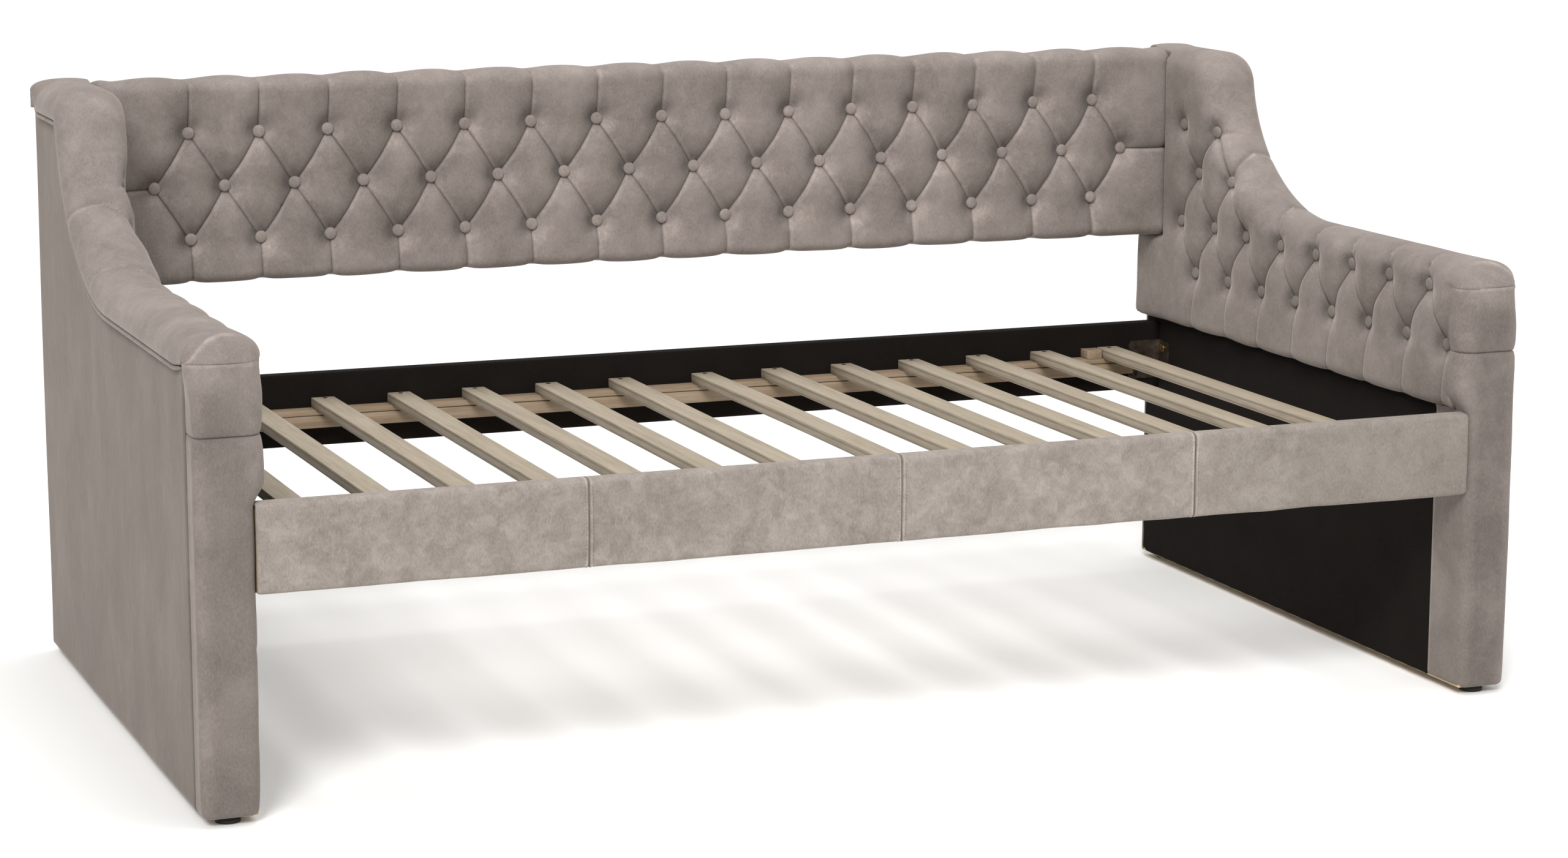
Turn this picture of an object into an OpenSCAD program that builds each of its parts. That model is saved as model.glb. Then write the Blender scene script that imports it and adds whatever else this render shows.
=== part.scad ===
// Buttoned daybed: two swooping padded arms, a deep-tufted back, covered rails and a slatted deck.
// Millimetres, +Z up. X runs along the length, the open front faces -Y, the origin is on the floor
// at the middle of the footprint. Every part is a separate piece, as it comes apart on a bench.

/* [Overall] */
// Clear length between the arms' inner faces
inner_w = 1930; // [1920:5:1960]
// Depth from the front faces of the arms to their rear faces
depth = 1110; // [1100:2:1130]
// Height of the glides under the arms
glide_h = 12; // [10:1:16]

/* [Arms] */
// Thickness of an arm between its inner and outer faces
arm_t = 80; // [76:1:84]
// Height of the roll along the low front part of an arm
arm_low = 688; // [680:1:700]
// Length of the curved rise from the low part to the high part
swoop_run = 310; // [290:5:320]
// Height of the curved rise
swoop_rise = 241; // [230:1:250]
// Radius of the shoulder at the top of the rise
shoulder_r = 60; // [54:1:70]
// Depth of the padded roll above the wooden core
roll_h = 45; // [40:1:48]
// How far the padding stands in from the arm's inner face
pad_t = 22; // [18:1:26]
// How far the roll overhangs the arm's outer face
roll_over = 8; // [6:1:10]
// Distance between neighbouring buttons of a row on an arm
arm_pitch = 119; // [112:1:122]
// Distance between button rows
row_pitch = 89; // [84:1:90]

/* [Back] */
// Height of the back panel's lower edge
back_z0 = 610; // [600:1:620]
// Thickness of the back panel from its crowned face to its rear cover
back_t = 93; // [88:1:98]
// Distance between neighbouring buttons of a row on the back
back_pitch = 116; // [112:1:117]
// Radius of a covered button
button_r = 10.5; // [9:0.5:12]

/* [Rails and deck] */
// Height of the rails' lower edges
rail_z0 = 325; // [315:1:335]
// Height of the padded front rail
rail_h = 130; // [124:1:136]
// Thickness of a finished rail
rail_t = 25; // [23:1:28]
// Number of slats in each half of the deck
slats_per_half = 7; // [7:1:7]
// Distance between neighbouring slats of one half
slat_pitch = 129.5; // [126:0.5:130]
// Distance between the two slats at the middle
slat_gap = 154; // [146:1:156]
// Width of a slat
slat_w = 39; // [34:1:45]
// Thickness of a slat
slat_t = 17; // [14:1:20]

/* [Hidden] */
$fn = 32;
taupe = "#8f857d";
pine = "#b08a66";
poplar = "#b8ab94";
ply = "#c2a880";
cambric = "#1c1a19";
bronze = "#4a4138";
brassy = "#b59a5c";

front_y = -depth / 2;
rear_y = depth / 2;
in_x = inner_w / 2;
out_x = in_x + arm_t;
panel_t = 12;
board_t = 4;
cloth_t = 1;
wrap_in = 2;
wrap_w = 100;
wrap_out = 55;
face_pad = 12;
post_w = 48;
core_x0 = in_x + cloth_t + panel_t;
core_x1 = out_x - 11 - board_t;
core_y0 = front_y + face_pad;
core_y1 = rear_y - 7;
pad_z0 = rail_z0 + rail_h;
nose_r = 40;

// Rails, ledgers and deck
rail_in = in_x - wrap_in - 1;
front_in = front_y + rail_t;
back_out = rear_y - 38;
back_in = back_out - rail_t;
back_rail_h = rail_h - 9;
ledger_d = 31;
ledger_h = 20;
strip_h = 10;
ledger_z = rail_z0 + 35;
ledger_len = 2 * (in_x - 70);
deck_z = ledger_z + ledger_h + strip_h;
slat_y0 = front_in + 5;
slat_y1 = back_in - 4;
slat_count = 2 * slats_per_half;

// Back panel layers, front to rear
back_face = rear_y - back_t;
back_board_y = back_face + 53;
back_batten_y = back_board_y + 12;
back_cover_y = rear_y - 6;
back_half = in_x - 5;
back_cap = 27;
batten_h = 45;

// The swoop: a level run, a quarter ellipse that rises and a round shoulder up to the high level.
swoop_y = -12;
swoop_end = 82;
function lean(t) = atan2(swoop_rise * sin(t), swoop_run * cos(t));
function rise_pt(t, off) = [
    swoop_y + swoop_run * sin(t) + off * sin(lean(t)),
    arm_low + swoop_rise * (1 - cos(t)) - off * cos(lean(t))
];
shoulder_a = lean(swoop_end);
shoulder_c = rise_pt(swoop_end, shoulder_r);
arm_high = shoulder_c[1] + shoulder_r;
function shoulder_pt(a, off) = shoulder_c + (shoulder_r - off) * [-sin(a), cos(a)];
function swoop(off) = concat(
    [for (i = [0:14]) rise_pt(swoop_end * i / 14, off)],
    [for (i = [1:7]) shoulder_pt(shoulder_a * (1 - i / 7), off)]
);
function backwards(list) = [for (i = [len(list) - 1:-1:0]) list[i]];
function nose(off) = [
    for (i = [0:6])
        [front_y + nose_r, arm_low - nose_r] + (nose_r - off) * [-cos(15 * i), sin(15 * i)]
];

// Button places as [along, height]; odd rows sit half a pitch to one side.
row_z = [for (i = [0:3]) 552 + row_pitch * i + (i > 1 ? 0.5 : 0)];
arm_low_row = [for (i = [0:7]) [346.5 - arm_pitch * i, row_z[0]]];
arm_top_row = [for (i = [0:7]) [403 - arm_pitch * i, row_z[1]]];
arm_high_rows = [for (r = [0:1], i = [0:1]) [(r == 0 ? 344 : 398) - arm_pitch * i, row_z[2 + r] - 6 * r]];
arm_buttons_at = concat(arm_low_row, arm_top_row, arm_high_rows);
back_buttons_at = [
    for (r = [0:2], i = [0:(r == 1 ? 15 : 14)])
        [(i - (r == 1 ? 7.5 : 7)) * back_pitch, 678 + 88 * r]
];

// Helpers
module on_side(s) {
    if (s > 0) children();
    else mirror([1, 0, 0]) children();
}

// A (depth, height) outline given a thickness along the length
module slab(x0, x1) {
    translate([x0, 0, 0]) rotate([90, 0, 90]) linear_extrude(x1 - x0) children();
}

module block(x, y, z) {
    translate([x[0], y[0], z[0]]) cube([x[1] - x[0], y[1] - y[0], z[1] - z[0]]);
}

// A pin along +X, +Y or -Z from its start
module pin_x(r, l) { rotate([0, 90, 0]) cylinder(r = r, h = l); }
module pin_y(r, l) { rotate([-90, 0, 0]) cylinder(r = r, h = l); }

module core_outline(y0, y1, z0) {
    polygon(concat(
        [[y0, z0], [y0, arm_low - roll_h]],
        swoop(roll_h),
        [[y1, arm_high - roll_h], [y1, z0]]
    ));
}

module roll_outline(off) {
    polygon(concat(
        nose(off), swoop(off),
        [[rear_y - off, arm_high - off], [rear_y - off, arm_high - roll_h]],
        backwards(swoop(roll_h)),
        [[front_y + off, arm_low - roll_h]]
    ));
}

// Fasteners: where each kind goes, and the shape that both the fastener and its hole use
bracket_h = 70;
bracket_z = rail_z0 + 19;
bracket_t = 3;
leaf_rail = 64;
leaf_arm = 37;
bolt_z = [bracket_z + 14, bracket_z + 56];
rail_screws = [[leaf_rail - 12, 10], [leaf_rail - 12, 60], [leaf_rail - 34, 35]];
ledger_screw_x = [for (i = [-3:3]) 270 * i];
slat_screw_y = [slat_y0 + 12, slat_y1 - 12];
back_bolt_z = [back_z0 + 24.5, back_z0 + 155.5];
back_bolt_y = back_batten_y + 11;

module rail_bolt_shapes(gap) {
    for (s = [-1, 1], z = bolt_z) on_side(s) {
        translate([in_x - wrap_in - bracket_t - 4, front_in + 19, z]) {
            pin_x(4 + gap, 52);
            pin_x(7.5 + gap, 4);
        }
        translate([in_x - bracket_t - 4, back_in - 19, z]) {
            pin_x(4 + gap, 52);
            pin_x(7.5 + gap, 4);
        }
    }
}

module back_bolt_shapes(gap) {
    for (s = [-1, 1], z = back_bolt_z) on_side(s) translate([in_x - 70, back_bolt_y, z]) {
        pin_x(4 + gap, core_x1 - in_x + 65);
        translate([core_x1 - in_x + 63, 0, 0]) pin_x(8 + gap, 7);
    }
}

module screw_y(gap, l) {
    pin_y(1.9 + gap, l);
    pin_y(4 + gap, 2);
}

module ledger_screws(gap) {
    for (x = ledger_screw_x) {
        translate([x, back_in - ledger_d, ledger_z + 10]) screw_y(gap, ledger_d + 14);
        translate([x, front_in + ledger_d, ledger_z + 10]) mirror([0, 1, 0]) screw_y(gap, ledger_d + 14);
    }
}

module bracket_screws(gap) {
    for (s = [-1, 1], p = rail_screws) on_side(s) {
        translate([in_x - p[0], back_in - bracket_t - 2, bracket_z + p[1]]) screw_y(gap, 17);
        translate([in_x - p[0], front_in + bracket_t + 2, bracket_z + p[1]])
            mirror([0, 1, 0]) screw_y(gap, 17);
    }
}

module slat_screws(i, gap) {
    for (y = slat_screw_y) translate([slat_x(i), y, deck_z + slat_t - 36]) {
        cylinder(r = 1.75 + gap, h = 36);
        translate([0, 0, 34]) cylinder(r = 3.5 + gap, h = 2);
    }
}

// Arms. The left arm is the right arm mirrored.
module arm_inner_panel() {
    color(ply) difference() {
        slab(in_x + cloth_t, core_x0) core_outline(core_y0, core_y1, glide_h);
        rail_bolt_shapes(0.2);
        back_bolt_shapes(0.2);
    }
}

module arm_outer_panel() {
    color(ply) slab(core_x1, core_x1 + board_t) core_outline(core_y0, core_y1, glide_h);
}

module glide_holes() {
    for (y = glide_y) translate([glide_x, y, glide_h - 1]) cylinder(r = 3.1, h = 24);
}

module arm_front_post() {
    color(pine) difference() {
        block([core_x0, core_x1], [core_y0, core_y0 + post_w], [glide_h, arm_low - roll_h]);
        rail_bolt_shapes(0.2);
        glide_holes();
    }
}

module arm_rear_post() {
    color(pine) difference() {
        block([core_x0, core_x1], [core_y1 - post_w, core_y1], [glide_h, arm_high - roll_h]);
        back_bolt_shapes(0.2);
        glide_holes();
    }
}

module arm_cross_rail(y1, z0, z1) {
    color(pine) difference() {
        block([core_x0, core_x1], [core_y0 + post_w, y1], [z0, z1]);
        rail_bolt_shapes(0.2);
    }
}

module arm_bottom_rail() { arm_cross_rail(core_y1 - post_w, glide_h, glide_h + 60); }
module arm_middle_rail() { arm_cross_rail(core_y1 - post_w, rail_z0 + 5, rail_z0 + 105); }
module arm_top_rail() { arm_cross_rail(swoop_y, arm_low - roll_h - 60, arm_low - roll_h); }

// The roll steps in towards its edges; the pad below it has a cone-shaped dimple at each button.
module arm_pad() {
    color(taupe) difference() {
        union() {
            for (l = [[0, 16], [7, 6], [18, 0]])
                slab(in_x - pad_t + l[0], out_x + roll_over - l[0]) roll_outline(l[1]);
            slab(in_x - pad_t, in_x + cloth_t) polygon(concat(
                [[front_y + 14, pad_z0], [front_y + 14, arm_low - 30], [front_y + 30, arm_low - 16]],
                swoop(16),
                [[rear_y - 10, arm_high - 16], [rear_y - 10, pad_z0]]
            ));
        }
        for (p = arm_buttons_at) translate([in_x - pad_t - 1, p[0], p[1]]) rotate([0, 90, 0])
            cylinder(r1 = 26, r2 = button_r + 0.3, h = pad_t - 7);
        block([0, back_half + 0.5], [back_face - 1, rear_y + 1], [back_z0 - 1, arm_high + 1]);
        back_bolt_shapes(0.2);
    }
}

module button() {
    rotate_extrude() polygon(concat(
        [[0, 0], [button_r, 0]],
        [for (i = [0:6]) [button_r * cos(15 * i), 2 + 3.5 * sin(15 * i)]]
    ));
}

module arm_buttons() {
    color(taupe) for (p = arm_buttons_at)
        translate([in_x - 8, p[0], p[1]]) rotate([0, -90, 0]) button();
}

module arm_outer_cover() {
    color(taupe) {
        slab(core_x1 + board_t, out_x) core_outline(front_y + wrap_out, rear_y, glide_h);
        block([in_x - 1, core_x1 + board_t], [core_y1, rear_y], [glide_h, arm_high - roll_h]);
        block([in_x - 1, in_x + cloth_t], [core_y1 - 8, core_y1], [glide_h, pad_z0]);
    }
}

module arm_welt() {
    color(taupe) slab(out_x, out_x + 5) polygon(concat(
        [[front_y + wrap_out, arm_low - roll_h - 6], [front_y + wrap_out, arm_low - roll_h]],
        swoop(roll_h),
        [[rear_y, arm_high - roll_h], [rear_y, arm_high - roll_h - 6]],
        backwards(swoop(roll_h + 6))
    ));
}

// A padded cover round the front edge of the arm, with a return on the inner face under the pad
module arm_front_wrap() {
    r = 15;
    color(taupe) difference() {
        union() {
            translate([0, 0, glide_h]) linear_extrude(arm_low - roll_h - glide_h) polygon(concat(
                [[in_x, core_y0], [in_x, front_y]],
                [for (i = [0:6]) [out_x - r, front_y + r] + r * [sin(15 * i), -cos(15 * i)]],
                [[out_x, front_y + wrap_out], [core_x1 + board_t, front_y + wrap_out]],
                [[core_x1 + board_t, core_y0]]
            ));
            block([in_x - wrap_in, in_x + cloth_t], [front_y, front_y + wrap_w], [glide_h, pad_z0]);
        }
        rail_bolt_shapes(0.2);
    }
}

module arm_dust_cover() {
    color(cambric) difference() {
        block([in_x, in_x + cloth_t], [front_y + wrap_w, core_y1 - 8], [glide_h + 1, pad_z0]);
        rail_bolt_shapes(0.2);
    }
}

glide_x = (core_x0 + core_x1) / 2;
glide_y = [core_y0 + 24, core_y1 - 24];
module arm_glides() {
    color("#191818") for (y = glide_y) translate([glide_x, y, 0]) {
        cylinder(r1 = 18, r2 = 20, h = 3);
        translate([0, 0, 3]) cylinder(r = 20, h = glide_h - 3);
        cylinder(r = 3, h = glide_h + 18);
    }
}

// Back panel
module back_board() {
    color(ply) block([-back_half + 2, back_half - 2], [back_board_y, back_batten_y],
        [back_z0 + 2, arm_high - back_cap]);
}

module back_battens() {
    color(pine) difference() {
        for (z = [back_z0 + 2, back_z0 + 133, arm_high - back_cap - batten_h])
            block([-back_half + 3, back_half - 3], [back_batten_y, back_cover_y], [z, z + batten_h]);
        back_bolt_shapes(0.2);
    }
}

module back_pad() {
    r = 20;
    color(taupe) difference() {
        slab(-back_half, back_half) polygon(concat(
            [[back_board_y, back_z0], [back_face + 12, back_z0], [back_face, back_z0 + 12]],
            [for (i = [0:6]) [back_face + r, arm_high - r] + r * [-cos(15 * i), sin(15 * i)]],
            [[rear_y - 8, arm_high], [rear_y - 2, arm_high - 6], [rear_y - 2, arm_high - back_cap]],
            [[back_board_y, arm_high - back_cap]]
        ));
        for (p = back_buttons_at) translate([p[0], back_face - 1, p[1]]) rotate([-90, 0, 0])
            cylinder(r1 = 30, r2 = button_r + 0.3, h = 22);
    }
}

module back_buttons() {
    color(taupe) for (p = back_buttons_at)
        translate([p[0], back_face + 20.8, p[1]]) rotate([90, 0, 0]) button();
}

module back_cover() {
    color(taupe) block([-back_half, back_half], [back_cover_y, rear_y], [back_z0, arm_high - back_cap]);
}

module back_bolts() { color(brassy) back_bolt_shapes(0); }

// Rails
module front_rail_board() {
    color(ply) difference() {
        block([-rail_in + 2, rail_in - 2], [front_y + 6, front_in - 1], [rail_z0 + 4, rail_z0 + rail_h - 8]);
        ledger_screws(0.1);
        bracket_screws(0.1);
    }
}

module front_rail_cover() {
    color(taupe) difference() {
        block([-rail_in, rail_in], [front_y, front_in], [rail_z0, rail_z0 + rail_h]);
        block([-rail_in + 2, rail_in - 2], [front_y + 6, front_in - 1], [rail_z0 + 4, rail_z0 + rail_h - 8]);
        ledger_screws(0.1);
        bracket_screws(0.1);
    }
}

module back_rail_board() {
    color(ply) difference() {
        block([-rail_in, rail_in], [back_in + 1, back_out - 3], [rail_z0, rail_z0 + back_rail_h - 1]);
        ledger_screws(0.1);
        bracket_screws(0.1);
    }
}

module back_rail_lining() {
    top = rail_z0 + back_rail_h;
    color(cambric) difference() {
        union() {
            block([-rail_in, rail_in], [back_in, back_in + 1], [rail_z0, top]);
            block([-rail_in, rail_in], [back_in, back_out - 3], [top - 1, top]);
        }
        ledger_screws(0.1);
        bracket_screws(0.1);
    }
}

module back_rail_cover() {
    color(taupe) block([-rail_in, rail_in], [back_out - 3, back_out], [rail_z0, rail_z0 + back_rail_h]);
}

module ledger(y0, z, h) {
    color(pine) difference() {
        block([-ledger_len / 2, ledger_len / 2], [y0, y0 + ledger_d], [z, z + h]);
        ledger_screws(0.1);
        for (i = [1:slat_count]) slat_screws(i, 0.1);
    }
}

module front_ledger() { ledger(front_in, ledger_z, ledger_h); }
module back_ledger() { ledger(back_in - ledger_d, ledger_z, ledger_h); }
module ledger_strips() {
    for (y = [front_in, back_in - ledger_d]) ledger(y, ledger_z + ledger_h, strip_h);
}

// Deck: two runs of slats with a wider gap at the middle
function slat_x(i) = i <= slats_per_half
    ? -slat_gap / 2 - (slats_per_half - i) * slat_pitch
    : slat_gap / 2 + (i - slats_per_half - 1) * slat_pitch;

module slat(i) {
    color(poplar) difference() {
        block([slat_x(i) - slat_w / 2, slat_x(i) + slat_w / 2], [slat_y0, slat_y1], [deck_z, deck_z + slat_t]);
        slat_screws(i, 0.1);
    }
}

module slat_block() {
    x1 = slat_x(slat_count) - slat_w / 2 - 1;
    color(poplar) block([x1 - 30, x1], [back_in - 30, back_in - 2], [deck_z, deck_z + 16]);
}

// A leaf with round corners on its free edge; the bend is at x = 0
module leaf(w) {
    r = 7;
    linear_extrude(bracket_t) union() {
        square([w - r, bracket_h]);
        translate([0, r]) square([w, bracket_h - 2 * r]);
        for (z = [r, bracket_h - r]) translate([w - r, z]) circle(r);
    }
}

module corner_bracket(x, y) {
    translate([x, y, bracket_z]) {
        rotate([90, 0, 180]) leaf(leaf_rail);
        translate([-bracket_t, 0, 0]) mirror([0, 1, 0]) rotate([90, 0, 90]) leaf(leaf_arm);
    }
}

module corner_brackets() {
    color(bronze) difference() {
        for (s = [-1, 1]) on_side(s) {
            translate([0, back_in - bracket_t, 0]) corner_bracket(in_x, 0);
            translate([0, front_in + bracket_t, 0]) mirror([0, 1, 0]) corner_bracket(in_x - wrap_in, 0);
        }
        rail_bolt_shapes(0.2);
        bracket_screws(0.1);
    }
}

module rail_bolts() { color(brassy) rail_bolt_shapes(0); }
module wood_screws() {
    color(bronze) {
        ledger_screws(0);
        bracket_screws(0);
        for (i = [1:slat_count]) slat_screws(i, 0);
    }
}

arm_inner_panel();  // right_arm_inner_panel
arm_outer_panel();  // right_arm_outer_panel
arm_front_post();  // right_arm_front_post
arm_rear_post();  // right_arm_rear_post
arm_bottom_rail();  // right_arm_bottom_rail
arm_middle_rail();  // right_arm_middle_rail
arm_top_rail();  // right_arm_top_rail
arm_pad();  // right_arm_pad
arm_buttons();  // right_arm_buttons
arm_outer_cover();  // right_arm_outer_cover
arm_welt();  // right_arm_welt
arm_front_wrap();  // right_arm_front_wrap
arm_dust_cover();  // right_arm_dust_cover
arm_glides();  // right_arm_glides
on_side(-1) arm_inner_panel();  // left_arm_inner_panel
on_side(-1) arm_outer_panel();  // left_arm_outer_panel
on_side(-1) arm_front_post();  // left_arm_front_post
on_side(-1) arm_rear_post();  // left_arm_rear_post
on_side(-1) arm_bottom_rail();  // left_arm_bottom_rail
on_side(-1) arm_middle_rail();  // left_arm_middle_rail
on_side(-1) arm_top_rail();  // left_arm_top_rail
on_side(-1) arm_pad();  // left_arm_pad
on_side(-1) arm_buttons();  // left_arm_buttons
on_side(-1) arm_outer_cover();  // left_arm_outer_cover
on_side(-1) arm_welt();  // left_arm_welt
on_side(-1) arm_front_wrap();  // left_arm_front_wrap
on_side(-1) arm_dust_cover();  // left_arm_dust_cover
on_side(-1) arm_glides();  // left_arm_glides
back_board();
back_battens();
back_pad();
back_buttons();
back_cover();
back_bolts();
front_rail_board();
front_rail_cover();
front_ledger();
back_rail_board();
back_rail_lining();
back_rail_cover();
back_ledger();
ledger_strips();
for (i = [1:slat_count]) slat(i);
slat_block();
corner_brackets();
rail_bolts();
wood_screws();
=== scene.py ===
# Buttoned daybed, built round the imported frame. Metres, +Z up, the open front faces -Y.
import math
import bpy
import numpy as np
from mathutils import Matrix, Vector
from mathutils.geometry import delaunay_2d_cdt


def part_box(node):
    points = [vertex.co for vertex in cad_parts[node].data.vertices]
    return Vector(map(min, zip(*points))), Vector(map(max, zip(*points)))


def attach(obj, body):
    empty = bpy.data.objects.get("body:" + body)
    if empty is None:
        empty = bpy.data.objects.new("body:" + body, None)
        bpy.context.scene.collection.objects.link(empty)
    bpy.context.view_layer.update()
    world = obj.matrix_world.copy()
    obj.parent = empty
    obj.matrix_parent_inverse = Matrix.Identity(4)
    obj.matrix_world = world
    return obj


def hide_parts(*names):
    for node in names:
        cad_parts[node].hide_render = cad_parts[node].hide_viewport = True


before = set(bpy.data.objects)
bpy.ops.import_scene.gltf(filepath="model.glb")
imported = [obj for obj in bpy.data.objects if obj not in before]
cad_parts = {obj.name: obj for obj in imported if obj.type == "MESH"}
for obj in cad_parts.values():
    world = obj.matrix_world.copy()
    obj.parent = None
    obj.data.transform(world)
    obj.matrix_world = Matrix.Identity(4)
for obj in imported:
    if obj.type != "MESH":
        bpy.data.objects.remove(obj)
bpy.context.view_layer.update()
bpy.ops.object.select_all(action="DESELECT")
sides = (("left", -1), ("right", 1))

cameraSettings = {"place": (-2.1207, -5.4142, 1.4831), "turn": -21.708, "tilt": -10.573, "roll": 0.131,
                  "lens": 84.895}


def addCamera(settings):
    bpy.ops.object.camera_add(location=settings["place"])
    camera = bpy.context.object
    camera.name = "camera"
    turn = Matrix.Rotation(math.radians(settings["turn"]), 4, "Z")
    tilt = Matrix.Rotation(math.radians(90 + settings["tilt"]), 4, "X")
    roll = Matrix.Rotation(math.radians(settings["roll"]), 4, "Z")
    camera.matrix_world = Matrix.Translation(settings["place"]) @ turn @ tilt @ roll
    camera.data.lens = settings["lens"]
    camera.data.sensor_width = 36
    camera.data.clip_end = 60
    bpy.context.scene.camera = camera


addCamera(cameraSettings)
print("camera placed")


studio = {
    "sky": "#ffffff", "skyStrength": 0.70, "floor": "#f7f6f4", "sunFrom": (-2.8, -4.6, 4.3),
    "sunPower": 2.4, "sunSpread": 20,
    "aim": (0, 0, 0.42),
    "lights": {"fill": ((3.8, -5.0, 2.4), (3.0, 2.4), 12), "top": ((0.2, 0.0, 4.2), (3.2, 2.2), 85)},
}


def fromHex(text):
    parts = [int(text[i:i + 2], 16) / 255 for i in (1, 3, 5)]
    return tuple(c / 12.92 if c <= 0.04045 else ((c + 0.055) / 1.055) ** 2.4 for c in parts) + (1,)


def setInputs(tree, node, values):
    # each value is another node's output or a plain value
    for name, value in values.items():
        if isinstance(value, bpy.types.NodeSocket):
            tree.links.new(value, node.inputs[name])
        else:
            node.inputs[name].default_value = value


def addNode(tree, kind, values=None, stops=None, **settings):
    # values are for its inputs, by name or number; stops are a ramp's places and colours
    node = tree.nodes.new("ShaderNode" + kind)
    for name, value in settings.items():
        setattr(node, name, value)
    setInputs(tree, node, values or {})
    if stops:
        while len(node.color_ramp.elements) < len(stops):
            node.color_ramp.elements.new(0.5)
        for element, (place, colour) in zip(node.color_ramp.elements, stops):
            element.position, element.color = place, fromHex(colour)
    return node.outputs


def areaLight(name, place, aim, size, power):
    bpy.ops.object.light_add(type="AREA", location=place)
    light = bpy.context.object
    light.name = name
    light.rotation_euler = (Vector(aim) - Vector(place)).to_track_quat("-Z", "Y").to_euler()
    light.data.shape = "RECTANGLE"
    light.data.size, light.data.size_y = size
    light.data.energy = power


def addStudio():
    world = bpy.data.worlds.new("studio")
    bpy.context.scene.world = world
    world.use_nodes = True
    tree = world.node_tree
    setInputs(tree, tree.nodes["Background"],
              {"Color": fromHex(studio["sky"]), "Strength": studio["skyStrength"]})
    bpy.ops.object.light_add(type="SUN", location=studio["sunFrom"])
    sun = bpy.context.object
    sun.name = "key"
    sun.rotation_euler = (-Vector(studio["sunFrom"])).to_track_quat("-Z", "Y").to_euler()
    sun.data.energy = studio["sunPower"]
    sun.data.angle = math.radians(studio["sunSpread"])
    for name, (place, size, power) in studio["lights"].items():
        areaLight(name, place, studio["aim"], size, power)
    bpy.context.scene.view_settings.view_transform = "Standard"
    bpy.ops.mesh.primitive_plane_add(size=60, location=(0, 0, 0))
    floor = bpy.context.object
    floor.name = "floor"
    paint, tree, shader = newMaterial("pale studio floor", 0.9, 0.1)
    setInputs(tree, shader, {"Base Color": fromHex(studio["floor"])})
    floor.data.materials.append(paint)


def newMaterial(name, roughness, specular=0.5, metallic=0.0):
    material = bpy.data.materials.new(name)
    material.use_nodes = True
    tree = material.node_tree
    shader = tree.nodes["Principled BSDF"]
    setInputs(tree, shader, {"Roughness": roughness, "Specular IOR Level": specular, "Metallic": metallic})
    return material, tree, shader


addStudio()
print("studio lit")


# Cotton velvet: a short dense pile that is brushed both ways, so the eye sees soft cloudy patches,
# a pale bloom where the surface turns away and a fine fibrous grain.
def velvetMaterial(name, dark, middle, light, crushed=0.0, streak=(1.0, 1.0, 1.0)):
    material, tree, shader = newMaterial(name, 0.9, 0.1)
    where = addNode(tree, "TexCoord")["Object"]
    along = addNode(tree, "Mapping", {"Vector": where, "Scale": streak})["Vector"]
    upright = addNode(tree, "Mapping", {"Vector": along, "Scale": (1.0, 1.0, 0.5)})["Vector"]
    # patches 110 mm across, finger marks of 20 mm, and tufts of 2.5 mm, coarser than real so they show
    clouds = addNode(tree, "TexNoise", {"Vector": along, "Scale": 9.0, "Detail": 3.0, "Roughness": 0.55,
                                        "Distortion": 0.4})["Fac"]
    brushed = addNode(tree, "TexNoise", {"Vector": along, "Scale": 46.0, "Detail": 4.0, "Roughness": 0.6,
                                         "Distortion": 0.6})["Fac"]
    pile = addNode(tree, "TexNoise",
                   {"Vector": upright, "Scale": 420.0, "Detail": 3.0, "Roughness": 0.65})["Fac"]
    tones = []
    for noise, *stops in ((clouds, 0.3, 0.5, 0.72), (brushed, 0.32, 0.52, 0.7), (pile, 0.3, 0.5, 0.7)):
        tones.append(addNode(tree, "ValToRGB", {"Fac": noise},
                             list(zip(stops, (dark, middle, light))))["Color"])
    cloudTone, brushTone, pileTone = tones
    colour = addNode(tree, "Mix", {0: 0.35 + crushed, 6: cloudTone, 7: brushTone}, data_type="RGBA")[2]
    colour = addNode(tree, "Mix", {0: 0.34, 6: colour, 7: pileTone}, data_type="RGBA")[2]
    # a tone attribute on each piece scales its colour: mostly painted shade and painted highlight beside
    # pleats, buttons and seams, and in places darker brushed pile
    napAndPaintedLight = addNode(tree, "Attribute", attribute_name="napAndPaintedLight")["Fac"]
    ragged = addNode(tree, "Math", {0: napAndPaintedLight, 1: brushed}, operation="MULTIPLY")[0]
    shade = addNode(tree, "Math", {0: ragged, 1: 0.92, 2: 1.0}, operation="MULTIPLY_ADD")[0]
    colour = addNode(tree, "VectorMath", {0: colour, "Scale": shade}, operation="SCALE")[0]
    marks = addNode(tree, "Bump",
                    {"Height": brushed, "Strength": 0.14 + crushed, "Distance": 0.0025})["Normal"]
    tufts = addNode(tree, "Bump",
                    {"Height": pile, "Strength": 0.22, "Distance": 0.0006, "Normal": marks})["Normal"]
    setInputs(tree, shader,
              {"Base Color": colour, "Normal": tufts, "Sheen Weight": 0.26, "Sheen Roughness": 0.4,
                             "Sheen Tint": fromHex("#e6dcd3")})
    return material


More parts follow.
